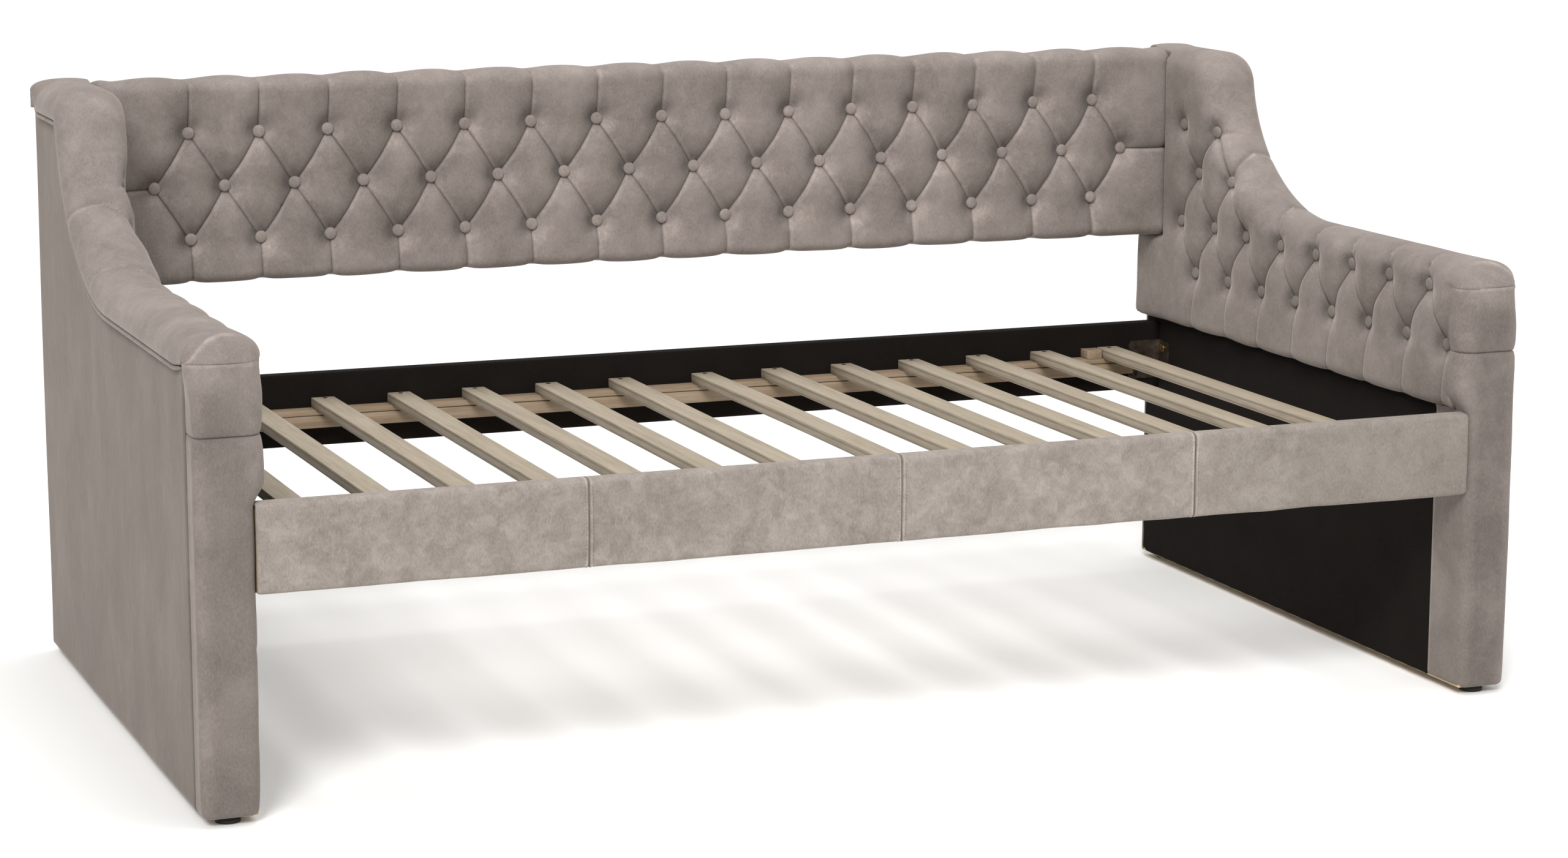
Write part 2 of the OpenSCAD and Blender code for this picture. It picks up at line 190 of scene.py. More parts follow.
# Non-woven dust cloth: pressed black fibres, dull, with a few paler ones.
def cambricMaterial():
    material, tree, shader = newMaterial("black non-woven cambric", 0.95, 0.12)
    where = addNode(tree, "TexCoord")["Object"]
    combed = addNode(tree, "Mapping", {"Vector": where, "Scale": (1.0, 0.35, 1.0)})["Vector"]
    fibres = addNode(tree, "TexNoise",
                     {"Vector": combed, "Scale": 700.0, "Detail": 3.0, "Roughness": 0.7})["Fac"]
    clouds = addNode(tree, "TexNoise", {"Vector": where, "Scale": 14.0, "Detail": 3.0})["Fac"]
    fibreTone = addNode(tree, "ValToRGB", {"Fac": fibres},
                        [(0.35, "#0d0a08"), (0.6, "#17120f"), (0.74, "#221c18")])["Color"]
    cloudTone = addNode(tree, "ValToRGB", {"Fac": clouds}, [(0.3, "#100c0a"), (0.7, "#1a1512")])["Color"]
    colour = addNode(tree, "Mix", {0: 0.4, 6: fibreTone, 7: cloudTone}, data_type="RGBA")[2]
    slack = addNode(tree, "Bump", {"Height": clouds, "Strength": 0.2, "Distance": 0.004})["Normal"]
    felt = addNode(tree, "Bump",
                   {"Height": fibres, "Strength": 0.3, "Distance": 0.0005, "Normal": slack})["Normal"]
    setInputs(tree, shader, {"Base Color": colour, "Normal": felt})
    return material


# Planed softwood or peeled veneer: long fibres along one axis, with darker late wood every few millimetres.
# Where the board is glued up of plies, their lines show along its edges.
def woodMaterial(name, pale, middle, dark, axis, ring=0.006, gloss=0.62, ply=None):
    material, tree, shader = newMaterial(name, gloss, 0.25)
    where = addNode(tree, "TexCoord")["Object"]
    scale = [1.0, 1.0, 1.0]
    scale[axis] = 0.045                                     # fibres run some 20 times longer than wide
    along = addNode(tree, "Mapping", {"Vector": where, "Scale": scale})["Vector"]
    rings = addNode(tree, "TexNoise", {"Vector": along, "Scale": 0.5 / ring, "Detail": 4.0,
                                       "Roughness": 0.62, "Distortion": 0.9})["Fac"]
    pores = addNode(tree, "TexNoise",
                    {"Vector": along, "Scale": 2.2 / ring, "Detail": 3.0, "Roughness": 0.7})["Fac"]
    patches = addNode(tree, "TexNoise", {"Vector": where, "Scale": 5.0, "Detail": 2.0})["Fac"]
    ringTone = addNode(tree, "ValToRGB", {"Fac": rings},
                       [(0.28, dark), (0.46, middle), (0.66, pale)])["Color"]
    poreTone = addNode(tree, "ValToRGB", {"Fac": pores}, [(0.35, dark), (0.6, pale)])["Color"]
    patchTone = addNode(tree, "ValToRGB", {"Fac": patches}, [(0.3, middle), (0.7, pale)])["Color"]
    colour = addNode(tree, "Mix", {0: 0.3, 6: ringTone, 7: poreTone}, data_type="RGBA")[2]
    colour = addNode(tree, "Mix", {0: 0.35, 6: colour, 7: patchTone}, data_type="RGBA")[2]
    if ply:
        height = addNode(tree, "SeparateXYZ", {"Vector": where})["Z"]
        wavy = addNode(tree, "Math", {0: pores, 1: 0.0046, 2: height}, operation="MULTIPLY_ADD")[0]
        layer = addNode(tree, "Math", {0: wavy, 1: ply}, operation="PINGPONG")[0]
        share = addNode(tree, "Math", {0: layer, 1: 1.0 / ply}, operation="MULTIPLY")[0]
        facing = addNode(tree, "SeparateXYZ", {"Vector": addNode(tree, "NewGeometry")["Normal"]})["Z"]
        flat = addNode(tree, "Math", {0: facing}, operation="ABSOLUTE")[0]
        onEdge = addNode(tree, "ValToRGB", {"Fac": flat}, [(0.3, "#ffffff"), (0.7, "#000000")])["Color"]
        line = addNode(tree, "ValToRGB", {"Fac": share},
                       [(0.0, "#d8d8d8"), (0.45, "#202020"), (1.0, "#5a5a5a")])["Color"]
        amount = addNode(tree, "Math", {0: onEdge, 1: line}, operation="MULTIPLY")[0]
        colour = addNode(tree, "Mix", {0: amount, 6: colour, 7: fromHex("#5d5042")}, data_type="RGBA")[2]
    grain = addNode(tree, "Bump", {"Height": rings, "Strength": 0.18, "Distance": 0.001})["Normal"]
    fine = addNode(tree, "Bump",
                   {"Height": pores, "Strength": 0.25, "Distance": 0.0004, "Normal": grain})["Normal"]
    setInputs(tree, shader, {"Base Color": colour, "Normal": fine})
    return material


# Pressed steel under a satin powder coat: a faint orange peel of about 1 mm, rubbed paler in patches.
def coatedSteelMaterial(name, dark, pale, roughness=0.42):
    material, tree, shader = newMaterial(name, roughness, 0.5, 0.75)
    where = addNode(tree, "TexCoord")["Object"]
    peel = addNode(tree, "TexNoise", {"Vector": where, "Scale": 900.0, "Detail": 2.0})["Fac"]
    wear = addNode(tree, "TexNoise",
                   {"Vector": where, "Scale": 60.0, "Detail": 4.0, "Roughness": 0.65})["Fac"]
    colour = addNode(tree, "ValToRGB", {"Fac": wear}, [(0.35, dark), (0.68, pale)])["Color"]
    skin = addNode(tree, "Bump", {"Height": peel, "Strength": 0.2, "Distance": 0.0003})["Normal"]
    setInputs(tree, shader, {"Base Color": colour, "Normal": skin})
    return material


# Yellow-passivated bolt steel: a warm brassy shine, duller where it is scuffed.
def boltMaterial():
    material, tree, shader = newMaterial("yellow passivated steel", 0.3, 0.5, 1.0)
    where = addNode(tree, "TexCoord")["Object"]
    scuffs = addNode(tree, "TexNoise",
                     {"Vector": where, "Scale": 240.0, "Detail": 4.0, "Roughness": 0.7})["Fac"]
    colour = addNode(tree, "ValToRGB", {"Fac": scuffs},
                     [(0.35, "#8a6d3c"), (0.6, "#c9a566"), (0.75, "#ead09a")])["Color"]
    shine = addNode(tree, "MapRange", {"Value": scuffs, "From Min": 0.3, "From Max": 0.7, "To Min": 0.45,
                                       "To Max": 0.22})[0]
    setInputs(tree, shader, {"Base Color": colour, "Roughness": shine})
    return material


# Moulded polypropylene: dull black with the fine grain of its mould.
def glideMaterial():
    material, tree, shader = newMaterial("moulded black polypropylene", 0.5, 0.4)
    where = addNode(tree, "TexCoord")["Object"]
    grain = addNode(tree, "TexNoise", {"Vector": where, "Scale": 1400.0, "Detail": 2.0})["Fac"]
    colour = addNode(tree, "ValToRGB", {"Fac": grain}, [(0.3, "#121111"), (0.7, "#1d1c1c")])["Color"]
    skin = addNode(tree, "Bump", {"Height": grain, "Strength": 0.25, "Distance": 0.0002})["Normal"]
    setInputs(tree, shader, {"Base Color": colour, "Normal": skin})
    return material


velvet = velvetMaterial("taupe cotton velvet", "#665e59", "#7c736e", "#938a84")
velvetPanel = velvetMaterial("taupe cotton velvet brushed down", "#57504b", "#655d58", "#776e67", 0.03,
                             (1.2, 1.2, 0.7))
# crushed for coarser marks, and given paler colours than the other velvet as painted sheen of its pile
velvetRailPaintedSheen = velvetMaterial("taupe cotton velvet crushed, painted paler as sheen", "#6c645d", "#8a827b", "#a29a93", 0.22)
cambric = cambricMaterial()
pineX, pineY, pineZ = [woodMaterial("planed red pine" + way, "#978672", "#837059", "#564130", axis)
                       for axis, way in enumerate(("", " lengthwise", " upright"))]
slatWood = woodMaterial("laminated poplar veneer", "#a59a89", "#958a78", "#766958", 1, 0.005, 0.55, 0.0052)
plywood = woodMaterial("sanded plywood", "#cbb48c", "#bda37a", "#a2875d", 0, 0.008)
bronze = coatedSteelMaterial("bronze powder coated steel", "#2b241f", "#54483d")
screwSteel = coatedSteelMaterial("dark coated screw steel", "#2a2725", "#4c4743", 0.36)
boltMetal = boltMaterial()
glidePlastic = glideMaterial()
print("materials mixed")


def meshPiece(name, points, faces, material, smooth=True):
    mesh = bpy.data.meshes.new(name)
    mesh.from_pydata([tuple(p) for p in points], [], [tuple(f) for f in faces])
    mesh.validate()
    piece = bpy.data.objects.new(name, mesh)
    bpy.context.scene.collection.objects.link(piece)
    mesh.materials.append(material)
    if smooth:
        mesh.shade_smooth()
    return piece


def select(piece):
    bpy.ops.object.select_all(action="DESELECT")
    piece.select_set(True)
    bpy.context.view_layer.objects.active = piece


def applyModifiers(piece):
    select(piece)
    for modifier in list(piece.modifiers):
        bpy.ops.object.modifier_apply(modifier=modifier.name)


def easeEdges(piece, width, segments=2, smoothed=None, sharp=None):
    # round off the hard edges, then shade what is flatter than an angle as smooth
    bevel = piece.modifiers.new("eased", "BEVEL")
    bevel.width, bevel.segments, bevel.limit_method = width, segments, "ANGLE"
    if sharp:
        bevel.angle_limit = math.radians(sharp)
    applyModifiers(piece)
    if smoothed:
        bpy.ops.object.shade_smooth_by_angle(angle=math.radians(smoothed))


def outward(piece):
    select(piece)
    bpy.ops.object.mode_set(mode="EDIT")
    bpy.ops.mesh.select_all(action="SELECT")
    bpy.ops.mesh.remove_doubles(threshold=0.00001)
    bpy.ops.mesh.normals_make_consistent(inside=False)
    bpy.ops.object.mode_set(mode="OBJECT")


def place(piece, slot, *nodes, fill=None):
    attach(piece, "root")
    if nodes:
        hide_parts(*nodes)


def smoothStep(x, low, high):
    t = np.clip((np.asarray(x, float) - low) / (high - low), 0, 1)
    return t * t * (3 - 2 * t)


def rounded(share):
    # a quarter of a circle, from 0 where the share is 0 to 1 where it is 1
    return 1 - np.sqrt(1 - np.clip(share, 0, 1) ** 2)


def quarter(count):
    return np.linspace(0, math.pi / 2, count)


def walkedLength(line):
    # how far along a line each of its points is
    return np.concatenate([[0], np.cumsum(np.linalg.norm(np.diff(line, axis=0), axis=1))])


def outOf(line):
    # the directions to the right of a walk along a flat line
    way = np.gradient(line, axis=0)
    return np.stack([way[:, 1], -way[:, 0]], 1) / (np.linalg.norm(way, axis=1)[:, None] + 1e-9)


def toLine(points, start, end):
    # the distance from each point to a straight line, and the share of its length where it is nearest
    start, end = np.asarray(start, float), np.asarray(end, float)
    along = end - start
    t = np.clip(((points - start) @ along) / (along @ along), 0, 1)
    return np.linalg.norm(points - (start + t[:, None] * along), axis=1), t


def joined(name, pieces, material):
    bpy.ops.object.select_all(action="DESELECT")
    for piece in pieces:
        piece.select_set(True)
    bpy.context.view_layer.objects.active = pieces[0]
    bpy.ops.object.join()
    group = bpy.context.object
    group.name = group.data.name = name
    group.data.materials.clear()
    group.data.materials.append(material)
    return group


def copied(master, matrices):
    # the master itself is used up
    copies = []
    for matrix in matrices:
        copy = master.copy()
        copy.data = master.data.copy()
        bpy.context.scene.collection.objects.link(copy)
        copy.data.transform(matrix)
        if matrix.determinant() < 0:
            copy.data.flip_normals()
        copies.append(copy)
    bpy.data.objects.remove(master)
    return copies


# A button pulls the cloth down to its seat and a pleat runs from it to the next one. Between the
# pleats the filling crowns. Every point gets a rise from 0 at a button's seat to 1 at a crown.
tufting = {"valley": 0.42, "pleatReach": 0.012, "pleatShape": 0.60, "buttonReach": 0.031, "gather": 0.10,
           "slit": 0.0042, "slitWidth": 0.0010, "lap": 0.0019, "lapReach": 0.0045}


def rise(points, buttons, pleats, seed):
    crown = np.ones(len(points))
    for start, end, deepStart, deepEnd in pleats:
        d, t = toLine(points, start, end)
        depth = deepStart + (deepEnd - deepStart) * t
        crown *= 1 - depth * (1 - (1 - np.exp(-d / tufting["pleatReach"])) ** tufting["pleatShape"])
    pull = np.full(len(points), 9.0)
    rng = np.random.default_rng(seed)
    wrinkle = np.zeros(len(points))
    for button in buttons:
        offset = points - np.asarray(button)
        d = np.linalg.norm(offset, axis=1)
        pull = np.minimum(pull, d)
        # small gathers fan out above a button and fade within 40 mm
        angle = np.arctan2(offset[:, 0], offset[:, 1])
        fans = np.cos(angle * rng.integers(7, 11) + rng.uniform(0, 6.28)) * np.exp(-(angle / 0.75) ** 2)
        wrinkle += rng.uniform(0.4, 1.0) * fans * np.exp(-((d - 0.022) / 0.014) ** 2)
    settle = 1 - np.exp(-(pull / tufting["buttonReach"]) ** 1.35)
    crown = crown / 0.93
    low = tufting["valley"]
    return low * settle + (1 - low) * crown * settle ** 0.4 + tufting["gather"] * wrinkle


def acrossPleat(start, end, toward):
    # the direction square to a pleat that looks the given way
    start, end = np.asarray(start, float), np.asarray(end, float)
    side = np.array([-(end - start)[1], (end - start)[0]]) / np.linalg.norm(end - start)
    return side if side @ np.asarray(toward) > 0 else -side


def creases(points, pleats, width, toward):
    # how deep the folded-in cloth goes at each point, and how far one side laps over it
    slit = np.zeros(len(points))
    lap = np.zeros((len(points), 2))
    for start, end, deepStart, deepEnd in pleats:
        d, t = toLine(points, start, end)
        side = acrossPleat(start, end, toward)
        inside = (t > 0.001) & (t < 0.999)
        ends = np.clip(np.minimum(t / 0.10, 1 if deepEnd < 1 else (1 - t) / 0.10), 0, 1)
        strength = (deepStart + (deepEnd - deepStart) * t) * ends
        slit = np.maximum(slit, strength * fallOff(d, width))
        s = (points - np.asarray(start, float)) @ side
        over = (s > width * 0.5) & inside
        lap -= side * (tufting["lap"] * strength * np.exp(-s / tufting["lapReach"]) * over)[:, None]
    return slit, lap


def fallOff(x, width):
    return np.exp(-(np.asarray(x, float) / width) ** 2)


def paintedShadeAndHighlight(points, buttons, pleats, toward):
    # painted shade and highlight, with toward the way the light comes from: -1 as painted shade on the side
    # of a pit or pleat nearer the light, whose wall is in shade, and +1 as a painted highlight on its far
    # side, whose wall faces the light
    tone = np.zeros(len(points))
    toward = np.asarray(toward, float) / np.linalg.norm(toward)
    for start, end, deepStart, deepEnd in pleats:
        d, t = toLine(points, start, end)
        s = (points - np.asarray(start, float)) @ acrossPleat(start, end, toward)
        depth = deepStart + (deepEnd - deepStart) * t
        tone -= 0.42 * depth * np.exp(-d / 0.010) * (s > 0)
        tone += 0.85 * depth * fallOff(d - 0.0024, 0.0017) * (s <= 0)
    for button in buttons:
        offset = points - np.asarray(button)
        d = np.linalg.norm(offset, axis=1)
        facing = (offset @ toward) / (d + 1e-9)
        tone -= 0.85 * fallOff(d - 0.012, 0.015) * np.clip(facing + 0.25, 0, 1)
        tone += 0.75 * fallOff(d - 0.019, 0.014) * np.clip(-facing, 0, 1)
    return np.clip(tone, -1, 1)


def pointsOf(piece):
    return np.array([v.co for v in piece.data.vertices])


# stores the tone that the velvet multiplies into its colour, mostly painted shade and painted highlight
def addNapAndPaintedLight(piece, tone):
    layer = piece.data.attributes.new("napAndPaintedLight", "FLOAT", "POINT")
    layer.data.foreach_set("value", tone.astype(np.float32))


def seatOf(points, flat, spot, toward):
    # where a button sits: on the ring of cloth round it, looking mostly straight out
    ring = points[np.abs(np.linalg.norm(flat - np.asarray(spot), axis=1) - 0.0105) < 0.0025]
    toward = np.asarray(toward, float)
    centre = ring.mean(0)
    heights = (ring - centre) @ toward
    centre = centre + toward * np.percentile(heights, 60)
    _, _, axes = np.linalg.svd(ring[heights > np.percentile(heights, 25)] - centre)
    normal = axes[2] if axes[2] @ toward > 0 else -axes[2]
    if normal @ toward < 0.75:
        normal = toward
    normal = normal * 0.45 + toward * 0.55
    return Vector(centre), Vector(normal / np.linalg.norm(normal))


def uneven(points, seed, size, amount):
    # slow unevenness of hand-stuffed filling, as a sum of a few waves
    rng = np.random.default_rng(seed)
    total = np.zeros(len(points))
    for _ in range(9):
        direction = rng.normal(size=points.shape[1])
        direction *= 2 * math.pi / (size * rng.uniform(0.6, 1.8)) / np.linalg.norm(direction)
        total += np.sin(points @ direction + rng.uniform(0, 6.28))
    return amount * total / 3


def flatMesh(outline, pleats, spacing):
    # points over a flat outline, close together along the pleats, joined into triangles
    outline = np.asarray(outline, float)
    low, high = outline.min(0), outline.max(0)
    rows = np.arange(low[1], high[1], spacing * 0.866)
    grid = np.array([(x + (k % 2) * spacing / 2, y) for k, y in enumerate(rows)
                     for x in np.arange(low[0], high[0], spacing)])
    lines = []
    keep = np.ones(len(grid), bool)
    for start, end, *_ in pleats:
        start, end = np.asarray(start, float), np.asarray(end, float)
        length = np.linalg.norm(end - start)
        side = np.array([-(end - start)[1], (end - start)[0]]) / length
        steps = np.linspace(0, 1, max(2, int(length / (spacing * 0.85))))
        for shift in (0, 0.0013, -0.0013, 0.0034, -0.0034):
            lines.append(start + steps[:, None] * (end - start) + side * shift)
        keep &= toLine(grid, start, end)[0] > 0.0034 + spacing * 0.45
    points = np.vstack(lines + [grid[keep]])
    points = points[insideOf(points, outline)]
    near = np.full(len(points), 9.0)
    closed = np.vstack([outline, outline[:1]])
    for a, b in zip(closed[:-1], closed[1:]):
        near = np.minimum(near, toLine(points, a, b)[0])
    points = points[near > spacing * 0.4]
    cells = np.round(points / 0.0011).astype(int)
    _, first = np.unique(cells, axis=0, return_index=True)
    points = points[np.sort(first)]
    everything = [Vector(p) for p in np.vstack([outline, points])]
    edges = [(i, (i + 1) % len(outline)) for i in range(len(outline))]
    found, _, faces, _, _, _ = delaunay_2d_cdt(everything, edges, [], 1, 0.00002)
    return np.array([tuple(p) for p in found]), [tuple(f) for f in faces]


def insideOf(points, outline):
    inside = np.zeros(len(points), bool)
    for (x0, y0), (x1, y1) in zip(outline, np.roll(outline, -1, axis=0)):
        crosses = (y0 > points[:, 1]) != (y1 > points[:, 1])
        with np.errstate(divide="ignore", invalid="ignore"):
            inside ^= crosses & (points[:, 0] < (x1 - x0) * (points[:, 1] - y0) / (y1 - y0) + x0)
    return inside


def closeBehind(name, front, back, faces, material):
    # the front and its hidden back share their layout; the rim joins them
    edges = {}
    for face in faces:
        for a, b in zip(face, face[1:] + face[:1]):
            edges[(a, b)] = edges.get((a, b), 0) + 1
    rim = [(a, b) for (a, b) in edges if (b, a) not in edges]
    count = len(front)
    allFaces = list(faces) + [tuple(i + count for i in reversed(f)) for f in faces]
    allFaces += [(b, a, a + count, b + count) for a, b in rim]
    return meshPiece(name, np.vstack([front, back]), allFaces, material)


backLow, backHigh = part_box("back_pad")
backPanel = {
    "half": backHigh.x, "crownY": backLow.y, "rearY": backHigh.y, "boardY": backLow.y + 0.053,
    "low": backLow.z, "top": backHigh.z, "pitch": 0.116, "rows": (0.678, 0.766, 0.854), "depth": 0.0215,
    "topRadius": 0.026, "rearRadius": 0.012, "fall": 0.013, "scallop": 0.0055, "lowRadius": 0.016,
    "spacing": 0.0062, "seed": 4,
}


def backProfile(values):
    # the face's line from under the lower edge, up the front and over the top, with its lengths
    y0, low, top = values["crownY"], values["low"], values["top"]
    r, s = values["topRadius"], values["lowRadius"]
    points = [(values["boardY"], low), (values["boardY"] - 0.02, low)]
    points += [(y0 + s - s * math.sin(a), low + s - s * math.cos(a)) for a in quarter(8)]
    points += [(y0 + r - r * math.cos(a), top - r + r * math.sin(a)) for a in quarter(12)]
    rear, fall, q = values["rearY"], values["fall"], values["rearRadius"]
    points += [(y0 + r + (rear - q - y0 - r) * t, top - fall * t * t) for t in (0.25, 0.5, 0.75)]
    points += [(rear - q + q * math.sin(a), top - fall - q + q * math.cos(a)) for a in quarter(6)]
    points.append((rear, top - 0.027))
    line = np.array(points)
    lengths = walkedLength(line)
    return line, lengths


def makeBackPad(values):
    line, lengths = backProfile(values)
    half, pitch = values["half"], values["pitch"]
    faceStart = lengths[9]                  # where the front face begins, above the lower bend
    toW = lambda z: faceStart + z - line[9][1]
    rows = values["rows"]
    buttons, pleats = [], []
    for r, z in enumerate(rows):
        count, shift = (16, 7.5) if r == 1 else (15, 7)
        buttons.append([((i - shift) * pitch, toW(z)) for i in range(count)])
    for r in (0, 2):
        for i, (x, w) in enumerate(buttons[r]):
            for j in (i, i + 1):
                pleats.append(((x, w), buttons[1][j], 1, 1))
            if r == 0:
                pleats.append(((x, w), (x, lengths[2] - 0.01), 1, 0.75))
            else:
                pleats.append(((x, w), (x, lengths[21] + 0.012), 1, 0.55))
    for end in (0, 15):
        x, w = buttons[1][end]
        pleats.append(((x, w), (math.copysign(half + 0.01, x), w), 1, 0.9))
    flatButtons = [b for row in buttons for b in row]
    stepX = np.linspace(-half, half, int(2 * half / values["spacing"]))
    stepW = np.linspace(0, lengths[-1], int(lengths[-1] / values["spacing"]))
    outline = [(x, 0) for x in stepX] + [(half, w) for w in stepW[1:-1]]
    outline += [(x, lengths[-1]) for x in stepX[::-1]] + [(-half, w) for w in stepW[-2:0:-1]]
    flat, faces = flatMesh(outline, pleats, values["spacing"])
    lift = rise(flat, flatButtons, pleats, values["seed"]) + uneven(flat, 11, 0.16, 0.035)
    slit, lap = creases(flat, pleats, tufting["slitWidth"], (-0.06, 1))
    onFace = smoothStep(flat[:, 1], 0.03, 0.06) * (np.abs(flat[:, 0]) < half - 0.012)
    laid = flat + lap * onFace[:, None]
    y = np.interp(laid[:, 1], lengths, line[:, 0])
    z = np.interp(laid[:, 1], lengths, line[:, 1])
    step = 0.004
    ahead, above = [np.interp(flat[:, 1] + step, lengths, line[:, k])
                    - np.interp(flat[:, 1] - step, lengths, line[:, k])
                    for k in (0, 1)]
    size = np.hypot(ahead, above) + 1e-9
    out = np.stack([-above / size, ahead / size], 1)
    # the cloth lies tight on the board at the far ends of the line, so it crowns less there
    topEnd = lengths[21]
    hold = smoothStep(flat[:, 1], 0.012, 0.05) * (1 - smoothStep(flat[:, 1], topEnd + 0.004, topEnd + 0.05))
    sink = (values["depth"] * (1 - lift) + tufting["slit"] * slit) * (0.2 + 0.8 * hold)
    # the top edge rises and falls between the upright pleats
    overTop = smoothStep(flat[:, 1], lengths[12], lengths[20])
    sink += values["scallop"] * overTop * hold * (1 - np.abs(np.sin(math.pi * flat[:, 0] / pitch)) ** 0.8)
    edge = np.clip((half - np.abs(flat[:, 0])) / 0.014, 0, 1)
    sink += 0.010 * rounded(1 - edge) * hold
    front = np.stack([laid[:, 0], y - out[:, 0] * sink, z - out[:, 1] * sink], 1)
    behind = np.where(front[:, 1] > values["boardY"] - 0.001, front[:, 1], values["boardY"])
    back = np.stack([laid[:, 0], behind, np.clip(z, values["low"] + 0.001, values["top"] - 0.026)], 1)
    overTop = front[:, 2] > values["top"] - 0.0262
    back[:, 2] = np.where(overTop & (front[:, 1] > values["boardY"]), values["top"] - 0.0268, back[:, 2])
    piece = closeBehind("backPad", front, back, [tuple(reversed(f)) for f in faces], velvet)
    # painted shade and highlight round the pleats and buttons, as if lit from the upper left
    addNapAndPaintedLight(piece, np.tile(paintedShadeAndHighlight(flat, flatButtons, pleats, (-0.7, 0.7)), 2))
    return piece, [seatOf(front, flat, spot, (0, -1, 0)) for spot in flatButtons]


backPad, backSeats = makeBackPad(backPanel)
place(backPad, "velvet", "back_pad", fill=0.75)
print("back pad tufted", len(backPad.data.polygons))


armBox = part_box("right_arm_pad")
arm = {
    "innerX": 0.965, "crownX": armBox[0].x, "outerX": armBox[1].x, "frontY": armBox[0].y,
    "rearY": armBox[1].y,
    "lowZ": armBox[0].z, "rollZ": 0.688, "noseR": 0.040, "swoopY": -0.012, "run": 0.310, "lift": 0.241,
    "steep": 82, "shoulderR": 0.060, "rearR": 0.020, "rollDepth": 0.045, "noseDepth": 0.038,
    "noseTaper": 0.055, "rearDepth": 0.018,
    "archPower": 2.35, "depth": 0.0190, "pitch": 0.119, "row": 0.089, "spacing": 0.0054, "panelY": 0.462,
    "panelX": 0.9612,
    "faceFront": -0.517, "faceRear": 0.545,
}


def crestLine(values):
    # the crest of the roll from the front seam, over the nose, up the swoop and down the rear end
    r, front, top = values["noseR"], values["frontY"], values["rollZ"]
    points, normals = [], []
    for a in quarter(15):
        points.append((front + r - r * math.cos(a), top - r + r * math.sin(a)))
        normals.append((-math.cos(a), math.sin(a)))
    for y in np.linspace(front + r, values["swoopY"], 120)[1:-1]:
        points.append((y, top))
        normals.append((0, 1))
    lean = lambda t: math.atan2(values["lift"] * math.sin(t), values["run"] * math.cos(t))
    for t in np.radians(np.linspace(0, values["steep"], 110)):
        points.append((values["swoopY"] + values["run"] * math.sin(t),
                       top + values["lift"] * (1 - math.cos(t))))
        normals.append((-math.sin(lean(t)), math.cos(lean(t))))
    centre = np.array(points[-1]) + values["shoulderR"] * np.array([math.sin(lean(t)), -math.cos(lean(t))])
    start = lean(math.radians(values["steep"]))
    for a in np.linspace(start, 0, 20)[1:]:
        points.append(tuple(centre + values["shoulderR"] * np.array([-math.sin(a), math.cos(a)])))
        normals.append((-math.sin(a), math.cos(a)))
    high, rear, q = points[-1][1], values["rearY"], values["rearR"]
    for y in np.linspace(points[-1][0], rear - q, 40)[1:-1]:
        points.append((y, high))
        normals.append((0, 1))
    for b in quarter(9):
        points.append((rear - q + q * math.sin(b), high - q + q * math.cos(b)))
        normals.append((math.sin(b), math.cos(b)))
    for z in np.linspace(high - q, high - values["rollDepth"], 6)[1:]:
        points.append((rear, z))
        normals.append((1, 0))
    return np.array(points), np.array(normals)


def armTufts(values, side):
    # button places on the arm's inner face, and the pleats between them and over the roll
    p, row = values["pitch"], values["row"]
    rows = [[(0.3465 - p * k, 0.552) for k in range(8)], [(0.403 - p * k, 0.552 + row) for k in range(8)]]
    rows.append([(0.344 - p * k, 0.7305) for k in range(2)])
    rows.append([(0.398 - p * k, 0.8135) for k in range(2)])
    if side < 0:                                            # this one is sewn a little lower on the left arm
        rows[3][1] = (0.289, 0.798)
    pleats = []
    for k in range(8):
        pleats.append((rows[0][k], rows[1][k], 1, 1))
        if k < 7:
            pleats.append((rows[0][k], rows[1][k + 1], 1, 1))
        pleats.append((rows[0][k], (rows[0][k][0], values["lowZ"] - 0.02), 1, 0.8))
    for a, b in ((0, 0), (1, 0), (1, 1), (2, 1)):
        pleats.append((rows[1][a], rows[2][b], 1, 1))
    for a, b in ((0, 0), (0, 1), (1, 1)):
        pleats.append((rows[2][a], rows[3][b], 1, 1))
    pleats.append((rows[0][7], (values["faceFront"] - 0.03, 0.549), 1, 0.8))
    # over the roll: from a button along the roll's girth, some right across and some dying away
    for k, reach, left in ((4, 0.105, 0.35), (5, 0.070, 0.2), (6, 0.090, 0.25), (7, 0.078, 0.2)):
        y, z = rows[1][k]
        pleats.append(((y, z), (y + 0.012, z + 0.045), 1, 1))
        pleats.append(((y + 0.012, z + 0.045), (y + 0.016, z + reach), 1, left))
    for path in ([rows[1][3], (0.080, 0.741), (0.058, 0.815)],
                 [rows[2][1], (0.202, 0.808), (0.148, 0.864)]):
        pleats.append((path[0], path[1], 1, 0.75))
        pleats.append((path[1], path[2], 0.75, 0.5))
    pleats.append((rows[3][1], (rows[3][1][0] - 0.045, rows[3][1][1] + 0.012), 1, 0.1))
    return [b for r in rows for b in r], pleats


def rollDepth(y, values):
    # how far the roll reaches down from its crest: less at the nose and at the rear end
    start, end = values["frontY"] + values["noseR"], values["rearY"] - values["rearR"]
    nose, roll = values["noseDepth"], values["rollDepth"]
    depth = nose + (roll - nose) * smoothStep(y, start, start + 0.06)
    return depth - (roll - values["rearDepth"]) * smoothStep(y, end - 0.04, end)


